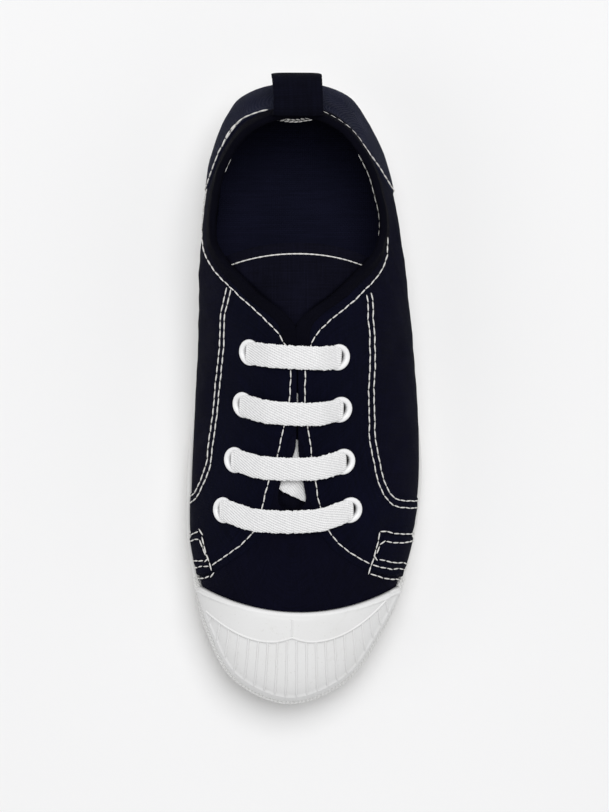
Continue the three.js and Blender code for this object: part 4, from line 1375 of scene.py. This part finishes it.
def sewn_tree():
    """A stitch at every point, laid along its 'along' and standing on its 'up'."""
    t, given, out = geometry_group("stitches", [
        ("Length", "Float"), ("Width", "Float"), ("Height", "Float"), ("Unevenness", "Float"),
        ("Seed", "Int"), ("Material", "Material")])
    ball = t.add("GeometryNodeMeshUVSphere", {"Segments": 8, "Rings": 5, "Radius": 0.5}).outputs[0]
    sizes = {0: given["Length"], 1: given["Width"], 2: given["Height"]}
    size = t.add("ShaderNodeCombineXYZ", sizes).outputs[0]
    stitch = t.add("GeometryNodeTransform", {"Geometry": ball, "Scale": size}).outputs[0]
    along = t.add("GeometryNodeInputNamedAttribute", {"Name": "along"}, data_type="FLOAT_VECTOR").outputs[0]
    up = t.add("GeometryNodeInputNamedAttribute", {"Name": "up"}, data_type="FLOAT_VECTOR").outputs[0]
    first = t.add("FunctionNodeAlignRotationToVector", {"Vector": along}, axis="X").outputs[0]
    turn = t.add("FunctionNodeAlignRotationToVector", {"Rotation": first, "Vector": up}, axis="Z",
                 pivot_axis="X").outputs[0]
    low = t.math("SUBTRACT", 1.0, given["Unevenness"])
    high = t.math("ADD", 1.0, given["Unevenness"])
    lows = t.add("ShaderNodeCombineXYZ", {0: low, 1: low, 2: low}).outputs[0]
    highs = t.add("ShaderNodeCombineXYZ", {0: high, 1: high, 2: high}).outputs[0]
    vary = t.add("FunctionNodeRandomValue", {0: lows, 1: highs, "Seed": given["Seed"]},
                 data_type="FLOAT_VECTOR").outputs[0]
    laid = t.add("GeometryNodeInstanceOnPoints", {"Points": given["Geometry"], "Instance": stitch,
                                                  "Rotation": turn, "Scale": vary}).outputs[0]
    return finish_tree(t, laid, given["Material"], out)


def points_piece(name, places, along, up):
    """Points with the two directions that a stitch or stud needs."""
    mesh = bare_mesh(name, places)
    for label, values in (("along", along), ("up", up)):
        layer = mesh.attributes.new(label, "FLOAT_VECTOR", "POINT")
        layer.data.foreach_set("vector", np.asarray(values, np.float32).ravel())
    return placed(name, mesh)


RAISED_LINE, SEWN = raised_line_tree(), sewn_tree()


def on_cap(x, y):
    """Places on the cap's face over a line in plan, with the cap's relief."""
    u, v, _ = over_plan(x, y)
    return offset_skin(u, v, CAP_TOP + cap_relief(skin(u, v)))


def cap_ribs():
    """The raised rib lines, leaning in a little towards the heel, and the ridge down the middle."""
    lines = []
    for k in range(-10, 11):
        x0 = CAP_MIDDLE + RIB_PITCH * (k + 0.5)
        y = np.linspace(-215, -172, 180)
        x = CAP_MIDDLE + (x0 - CAP_MIDDLE) * (1 - 0.0035 * (y + 200))
        u, v, miss = over_plan(x, y)
        base = skin(u, v)
        keep = (miss < 0.3) & (y < scallop_line(x) - 0.2) & (base[:, 2] > RIB_FOOT_Z)
        if keep.sum() > 12:
            lines.append(offset_skin(u, v, np.full(u.shape, CAP_TOP + RIB_RAISE))[keep])
    y = np.linspace(-188.6, cap_back_line(CAP_MIDDLE) - 2.4, 30)
    lines.append(on_cap(np.full(30, CAP_MIDDLE), y))
    piece = apply_nodes(lines_piece("cap_ribs", lines), RAISED_LINE,
                        {"Radius": RIB_RADIUS * MM, "Material": CAP_RUBBER})
    return worn(piece, "rubber")


def cap_scallop():
    """The bead along the bowed line where the ribs end."""
    x = np.linspace(-36.5, 35, 260)
    y = scallop_line(x)
    u, v, miss = over_plan(x, y)
    base = skin(u, v)
    keep = (miss < 0.3) & (base[:, 2] > 33.2)
    line = offset_skin(u, v, np.full(u.shape, CAP_TOP + 0.3))[keep]
    # a second bead runs round the front, where the ribs end above the bumper
    u = np.linspace(TOE_U - 2.5, TOE_U + 2.5, 260)
    v = np.linspace(STRIP_V + 0.05, 1.2, 60)
    height = skin(*np.meshgrid(u, v, indexing="ij"))[..., 2]
    v = np.array([np.interp(RIB_FOOT_Z, h, v) for h in height])
    front = offset_skin(u, v, np.full(u.shape, CAP_TOP + 0.02))
    piece = apply_nodes(lines_piece("cap_scallop", [line, front]), RAISED_LINE,
                        {"Radius": SCALLOP_RADIUS * MM, "Material": CAP_RUBBER})
    return worn(piece, "rubber")


def bumper_studs():
    """Rows of small slanting studs moulded round the bumper's upper edge."""
    places, along, up = [], [], []
    u = np.linspace(TOE_U - 3.05, TOE_U + 3.05, 1600)
    y = girth["y"](u)
    thick, lean = GAP + strip_thick(y), BUMPER_LEAN * bumper(y)
    for row, (lean_share, inset, drop, face_up) in enumerate(STUD_ROWS):
        x, py = foot_line(u, thick - lean * lean_share - inset)
        line = np.stack([x, py, strip_top(y) - drop], -1)
        run = arc_lengths(line)
        s = np.arange((row % 2) * STUD_PITCH / 2, run[-1], STUD_PITCH)
        at = np.stack([np.interp(s, run, line[:, k]) for k in range(3)], -1)
        forward = unit(np.gradient(at, axis=0))
        out = unit(np.cross(forward, UP))
        out = out * np.sign((out * (at - np.array([0, -150, 20]))).sum(-1, keepdims=True))
        normal = unit(mix(out, UP, face_up))
        places.append(at)
        along.append(unit(forward + 0.8 * np.cross(normal, forward)))
        up.append(normal)
    piece = points_piece("bumper_studs", np.vstack(places), np.vstack(along), np.vstack(up))
    apply_nodes(piece, SEWN, {
        "Length": STUD_LENGTH * MM, "Width": STUD_WIDTH * MM, "Height": STUD_HEIGHT * MM,
        "Unevenness": 0.02, "Seed": SEED, "Material": STRIP_RUBBER})
    return worn(piece, "rubber")


# ---- laces ---------------------------------------------------------------------------------------
LACE_WIDTH, LACE_THICK = 9.4, 1.2
LACE_SAG = (0.9, 2.3, 3.0, 4.3)          # how far each bar bows towards the toe
BAR_LIFT, RUN_DROP = 1.75, 4.2           # a bar's middle over the canvas, a hidden run's under it
LOOP_WIDTH, LOOP_THICK = 19.5, 1.4


def ribbon(name, path, up, width, thick, materials, samples=90, fuzz=0.2):
    """A flat woven band along a path, with its own width and thickness at each point of it."""
    t = np.linspace(0, len(path) - 1, samples)
    path, up = np.asarray(path, float), np.asarray(up, float)
    line = np.stack([read_row(path[:, k], t) for k in range(3)], -1)
    lift = unit(np.stack([read_row(up[:, k], t) for k in range(3)], -1))
    wide, deep = read_row(width, t), read_row(thick, t)
    along = unit(np.gradient(line, axis=0))
    across = unit(np.cross(lift, along))
    lift = unit(np.cross(along, across))
    angle = np.linspace(0, 2 * np.pi, 36, endpoint=False)
    c, s = np.cos(angle), np.sin(angle)
    side = np.sign(c) * np.abs(c) ** 0.45
    rise = np.sign(s) * np.abs(s) ** 0.8
    uneven = fuzz * (waves(line, 4.1, 4.0) + 0.8 * waves(line, 2.3, 1.0) + 1.1 * waves(line, 1.0, 2.0))
    sections = (line[None] + across[None] * (side[:, None, None] * (wide / 2 + uneven)[None, :, None])
                + lift[None] * (rise[:, None, None] * (deep / 2)[None, :, None]))
    run = arc_lengths(line)
    closed_side = np.concatenate([side, side[:1]])
    uv = np.stack(np.broadcast_arrays(run[None, :], closed_side[:, None] * 4.8), -1)
    return grid_piece(name, sections, materials, close_rows=True, uv=uv, caps=True)


def lace_bar(row):
    """Lace over one row: out of the inner eyelet, flat across the canvas and down into the outer one."""
    a, b = row, row + row_count
    pa, pb, na, nb = EYE_POINT[a], EYE_POINT[b], EYE_NORMAL[a], EYE_NORMAL[b]
    d = unit(pb - pa)
    start, end = pa + na * BAR_LIFT, pb + nb * BAR_LIFT
    chord = (start + end) / 2
    u, v, _ = over_plan([chord[0]], [chord[1]])
    crown_normal = skin_normal(u, v)[0]
    rise = skin(u, v)[0, 2] + PANEL + 1.1 - chord[2]
    path, up, width, thick = [], [], [], []
    for p, n, sign, fill in ((pa, na, 1, -1.0), (pb, nb, -1, -0.75)):
        into = d * sign
        part = [(p + into * fill - n * 5, -into, 5.2, 2.2), (p + into * fill - n * 1.4, -into, 5.6, 2.2),
                (p + into * (fill + 0.6) + n * 0.7, n - into * 0.8, 7.0, 1.7),
                (p + into * (fill + 2.4) + n * BAR_LIFT, n, 8.9, 1.3)]
        if sign < 0:
            part = part[::-1]
            inner = []
            for t in (0.22, 0.36, 0.5, 0.64, 0.78):
                hump = (4 * t * (1 - t)) ** 0.75
                q = mix(start, end, t) + np.array([0, -LACE_SAG[row] * hump, rise * hump])
                side = na if t < 0.5 else nb
                inner.append((q, unit(mix(side, crown_normal, hump)), LACE_WIDTH, LACE_THICK))
            part = inner + part
        for q, n_up, w, h in part:
            path.append(q)
            up.append(unit(np.asarray(n_up)))
            width.append(w)
            thick.append(h)
    piece = ribbon(f"lace_{row + 1}", path, up, width, thick, [LACE_COTTON], 300)
    return worn(piece, "lace", f"lace_bar_{row + 1}")


def under_run(name, first, last, bow=0.0, tucked=False):
    """Lace under the canvas from one eyelet to another, lying on the tongue.

    A tucked run keeps close under the canvas."""
    pa, pb, na, nb = EYE_POINT[first], EYE_POINT[last], EYE_NORMAL[first], EYE_NORMAL[last]
    a, b = pa - na * RUN_DROP, pb - nb * RUN_DROP
    t = np.linspace(0.08, 0.92, 9)
    x, y = mix(a[0], b[0], t), mix(a[1], b[1], t) - bow * np.sin(np.pi * t)
    z, lean = tongue_top(x, y) + 0.75, np.tile([0, 0, 1.0], (9, 1))
    if tucked:
        u, v, _ = over_plan(x, y)
        lean = skin_normal(u, v)
        z = np.minimum(z, (skin(u, v) - lean * (WALL + 1.3))[:, 2])
    path = [pa - na * 1.0, a] + list(np.stack([x, y, z], -1)) + [b, pb - nb * 1.0]
    d = unit(pb - pa)
    up = [-d, unit(na - d)] + list(lean) + [unit(nb + d), d]
    width = [4.4, 6.0] + [9.2] * 9 + [6.0, 4.4]
    return worn(ribbon(name, path, up, width, [1.5, 1.2] + [1.0] * 9 + [1.2, 1.5], [LACE_COTTON], 90), "lace")


def eyelet_rings():
    """Painted metal eyelets: a rounded flange and a barrel, set at every lace hole."""
    angle = np.linspace(0, 2 * np.pi, RING_SIDES, endpoint=False)
    profile = [(HOLE, -2.6), (HOLE + 0.45, -2.6), (HOLE + 0.45, -0.1), (FLANGE - 0.25, -0.1), (FLANGE, 0.08),
               (FLANGE - 0.1, 0.42), (4.75, 0.78), (4.2, 0.95), (3.6, 0.86), (3.15, 0.5), (HOLE, -0.1)]
    points, faces = [], []
    for place, normal in zip(EYE_POINT, EYE_NORMAL):
        turn = np.array(turned_to(normal, (1, 0, 0)))
        rings = np.array([[(r * np.cos(a), r * np.sin(a), z) for a in angle] for r, z in profile])
        first = len(points) * len(profile) * RING_SIDES
        face, _, _ = grid_faces(len(profile), RING_SIDES, True, True)
        face = outward(face, rings.reshape(-1, 3))
        points.append(rings.reshape(-1, 3) @ turn.T + place)
        faces.append(face + first)
    piece = mesh_piece("eyelets", np.vstack(points), np.vstack(faces), [PAINT])
    nodes = [f"eyelet_{k + 1}_{side}" for k in range(row_count) for side in ("inner", "outer")]
    return worn(piece, "painted_eyelet", *nodes)


def pull_loop():
    """Webbing folded over the collar at the heel."""
    t = np.linspace(0, len(LOOP_LINE["y"]) - 1, 40)
    y, z = read_row(LOOP_LINE["y"], t), read_row(LOOP_LINE["z"], t)
    path = np.stack([np.zeros(40) + 0.3 * np.sin(t), y, z], -1)
    along = np.gradient(path, axis=0)
    up = np.stack([np.zeros(40), -along[:, 2], along[:, 1]], -1)
    width = LOOP_WIDTH + 0.25 * np.sin(t * 1.7)
    piece = ribbon("heel_loop", path, up, width, np.full(40, LOOP_THICK), [LOOP_WEB], 160, 0.06)
    return worn(piece, "webbing", "pull_loop")


# ---- stitching -----------------------------------------------------------------------------------
def stitches_on(route, height, start=0.0, end=None, pitch=STITCH_PITCH):
    """Places and directions of the stitches along a route, at a height above the plain form."""
    end = route.length if end is None else end
    count = max(2, int((end - start) / pitch))
    s = start + (np.arange(count) + 0.5) * (end - start) / count
    u, v = route.uv_at(s)
    place = cloth(u, v, np.full(u.shape, height))
    u2, v2 = route.uv_at(s + 0.5)
    u1, v1 = route.uv_at(s - 0.5)
    along = unit(skin(u2, v2) - skin(u1, v1))
    up = skin_normal(u, v)
    tilt = 0.09 * np.sin(np.arange(count) * 2.4)[:, None]
    along = unit(along + np.cross(up, along) * tilt)
    return place, along, up


def sewn_piece(name, sets):
    """One piece of thread from several sets of stitches."""
    place, along, up = (np.vstack([s[k] for s in sets]) for k in range(3))
    piece = apply_nodes(points_piece(name, place, along, up), SEWN, {
        "Length": STITCH_LENGTH * MM, "Width": STITCH_WIDTH * MM, "Height": STITCH_HEIGHT * MM,
        "Unevenness": 0.06, "Seed": SEED, "Material": THREAD})
    return worn(piece, "thread")


# ---- the shoe ------------------------------------------------------------------------------------
drills = hole_drills()
upper_shell(drills)
eyelet_panel("eyelet_panel_outer", QUARTER_OUTER, VAMP_OUTER, 1, drills)
eyelet_panel("eyelet_panel_inner", QUARTER_INNER, VAMP_INNER, -1, drills)
bpy.data.objects.remove(drills)
counter_patch()
side_patch("side_patch_outer", PATCH_OUTER, PANEL)
side_patch("side_patch_inner", PATCH_INNER, PANEL)
collar_binding()
tongue()
footbed()
foxing_strip()
outsole()
toe_cap()
cap_ribs()
cap_scallop()
bumper_studs()
for row in range(row_count):
    lace_bar(row)
INNER, OUTER = 0, row_count
under_run("lace_under_3_4", INNER + 2, OUTER + 3)
under_run("lace_under_2_3", INNER + 1, OUTER + 2, 8.0)
under_run("lace_under_1_2", INNER + 0, OUTER + 1, 11.0, tucked=True)
under_run("lace_under_side", INNER + 3, INNER + 0, tucked=True)
eyelet_rings()
pull_loop()

ON_PANEL = PANEL + THREAD_LIFT
ON_PATCH = 2 * PANEL + THREAD_LIFT
ON_BINDING = PANEL + 0.5
quarter_lines = [QUARTER_OUTER, QUARTER_OUTER.moved(-NEEDLE_GAP),
                 QUARTER_INNER, QUARTER_INNER.moved(NEEDLE_GAP)]
sewn_piece("stitching_quarters", [stitches_on(r, ON_PANEL, 5.5) for r in quarter_lines])


def vamp_stitches(route, patch_x):
    """The vamp's seam runs over the canvas as far as the side patch, and then over the patch."""
    split = route.run[np.argmax(np.abs(route.points[:, 0]) > patch_x)]
    return [stitches_on(route, ON_PANEL, 4, split - 0.5),
            stitches_on(route, ON_PATCH, split + 0.5)]


sewn_piece("stitching_vamp", vamp_stitches(VAMP_OUTER, 29.6) + vamp_stitches(VAMP_INNER, 33.2))
sewn_piece("stitching_counter", [stitches_on(r, ON_PANEL, 1) for r in (COUNTER_OUTER, COUNTER_INNER)])
patch_lines = [PATCH_OUTER, PATCH_INNER, PATCH_OUTER_INSIDE, PATCH_INNER_INSIDE]
sewn_piece("stitching_patches", [stitches_on(r, ON_PATCH) for r in patch_lines])


def stitches_inside(first_u, last_u):
    """Stitches on the lining's side of the binding, between two places round the collar."""
    u = np.linspace(first_u, last_u, 120)
    v = distance_below_edge(u, [2.6])[0]
    place, along, up = stitches_on(Route(np.stack([u, v], -1)[::3], on_uv=True), -WALL - 0.75)
    return place, along, -up


sewn_piece("stitching_collar", [
    stitches_on(COLLAR_HEEL.moved(0.9), ON_BINDING), stitches_on(COLLAR_INNER, ON_BINDING),
    stitches_on(COLLAR_OUTER, ON_BINDING), stitches_inside(2.45, 4.45), stitches_inside(-2.95, -2.6)])


def tongue_hem_seam():
    """Stitches along the hem of the tongue's free edge."""
    x = np.linspace(-25.5, 25.5, 24)
    y = tongue_end(x / 29) - HEM_SEAM
    z = tongue_top(x, y) + HEM_RAISE
    place = np.stack([x, y, z], -1)
    along = unit(np.gradient(place, axis=0))
    up = unit(np.cross(along, np.array([0, 1.0, 0])))
    up = up * np.sign(up[:, 2:])
    return place, along, up


sewn_piece("stitching_tongue", [tongue_hem_seam()])


def bar_tack():
    """Zigzag of thread that holds the loop's inner end to the lining."""
    count = 15
    k = np.arange(count)
    x = np.linspace(-7.6, 5.0, count)
    z = 61.2 + 0.6 * np.where(k % 2, 1, -1)
    y = 14.9 + 0.35 * np.where(k % 2, 1, -1) - 0.9 * smooth(1 - np.abs(x + 1) / 8)
    place = np.stack([x, y, z], -1)
    along = unit(np.stack([np.full(count, 0.6), np.zeros(count), np.where(k % 2, -1.0, 1.0)], -1))
    return place, along, np.tile([0, -1.0, 0], (count, 1))


def loop_end_seam():
    """Two rows of stitches across the loop's outer end."""
    x = np.tile(np.linspace(-6.8, 6.8, 5), 2)
    place = np.stack([x, np.full(10, LOOP_LINE["y"][-1] + 0.75), np.repeat([46.2, 49.4], 5)], -1)
    return place, np.tile([1.0, 0, 0], (10, 1)), np.tile([0, 1.0, 0], (10, 1))


sewn_piece("stitching_loop", [bar_tack(), loop_end_seam()])


# ---- room, lights and camera ---------------------------------------------------------------------
# each softbox: name, size in metres, watts and place
SOFTBOXES = (("softbox above", 1.2, 25, (0.12, 0.38, 2.0)), ("softbox left", 0.9, 1.5, (-1.2, -0.3, 1.3)))
LIT_PLACE = Vector((0, -0.09, 0.03))
ROOM_LIGHT = 0.52
CAMERA_PLACE = (-0.0455, -0.098, 1.45)
CAMERA_TILT = math.radians(-2)
LENS_LENGTH, SENSOR_WIDTH = 156.8, 36


def studio():
    """Pale floor, even light all round and two softboxes."""
    bpy.ops.mesh.primitive_plane_add(size=12, location=(0, 0, -0.0002))
    floor = bpy.context.object
    floor.name = "floor"
    made, t, shader = start_material("pale floor")
    shader.inputs["Base Color"].default_value = (0.86, 0.86, 0.865, 1)
    shader.inputs["Roughness"].default_value = 0.9
    shader.inputs["Specular IOR Level"].default_value = 0.1
    floor.data.materials.append(made)
    world = bpy.data.worlds.new("studio")
    bpy.context.scene.world = world
    world.use_nodes = True
    sky = world.node_tree.nodes["Background"]
    sky.inputs["Color"].default_value = (1, 1, 1, 1)
    sky.inputs["Strength"].default_value = ROOM_LIGHT
    for name, size, power, place in SOFTBOXES:
        lamp = bpy.data.lights.new(name, "AREA")
        lamp.shape, lamp.size, lamp.energy = "DISK", size, power
        light = placed(name, lamp)
        light.location = place
        aim = LIT_PLACE - Vector(place)
        light.rotation_euler = aim.to_track_quat("-Z", "Y").to_euler()


def camera():
    """Looks almost straight down from above the shoe's inner side."""
    lens = bpy.data.cameras.new("camera")
    lens.lens, lens.sensor_width = LENS_LENGTH, SENSOR_WIDTH
    lens.clip_start, lens.clip_end = 0.05, 20
    eye = placed("camera", lens)
    eye.location = CAMERA_PLACE
    eye.rotation_euler = (0, CAMERA_TILT, 0)
    bpy.context.scene.camera = eye


studio()
camera()
bpy.context.scene.view_settings.view_transform = "Standard"
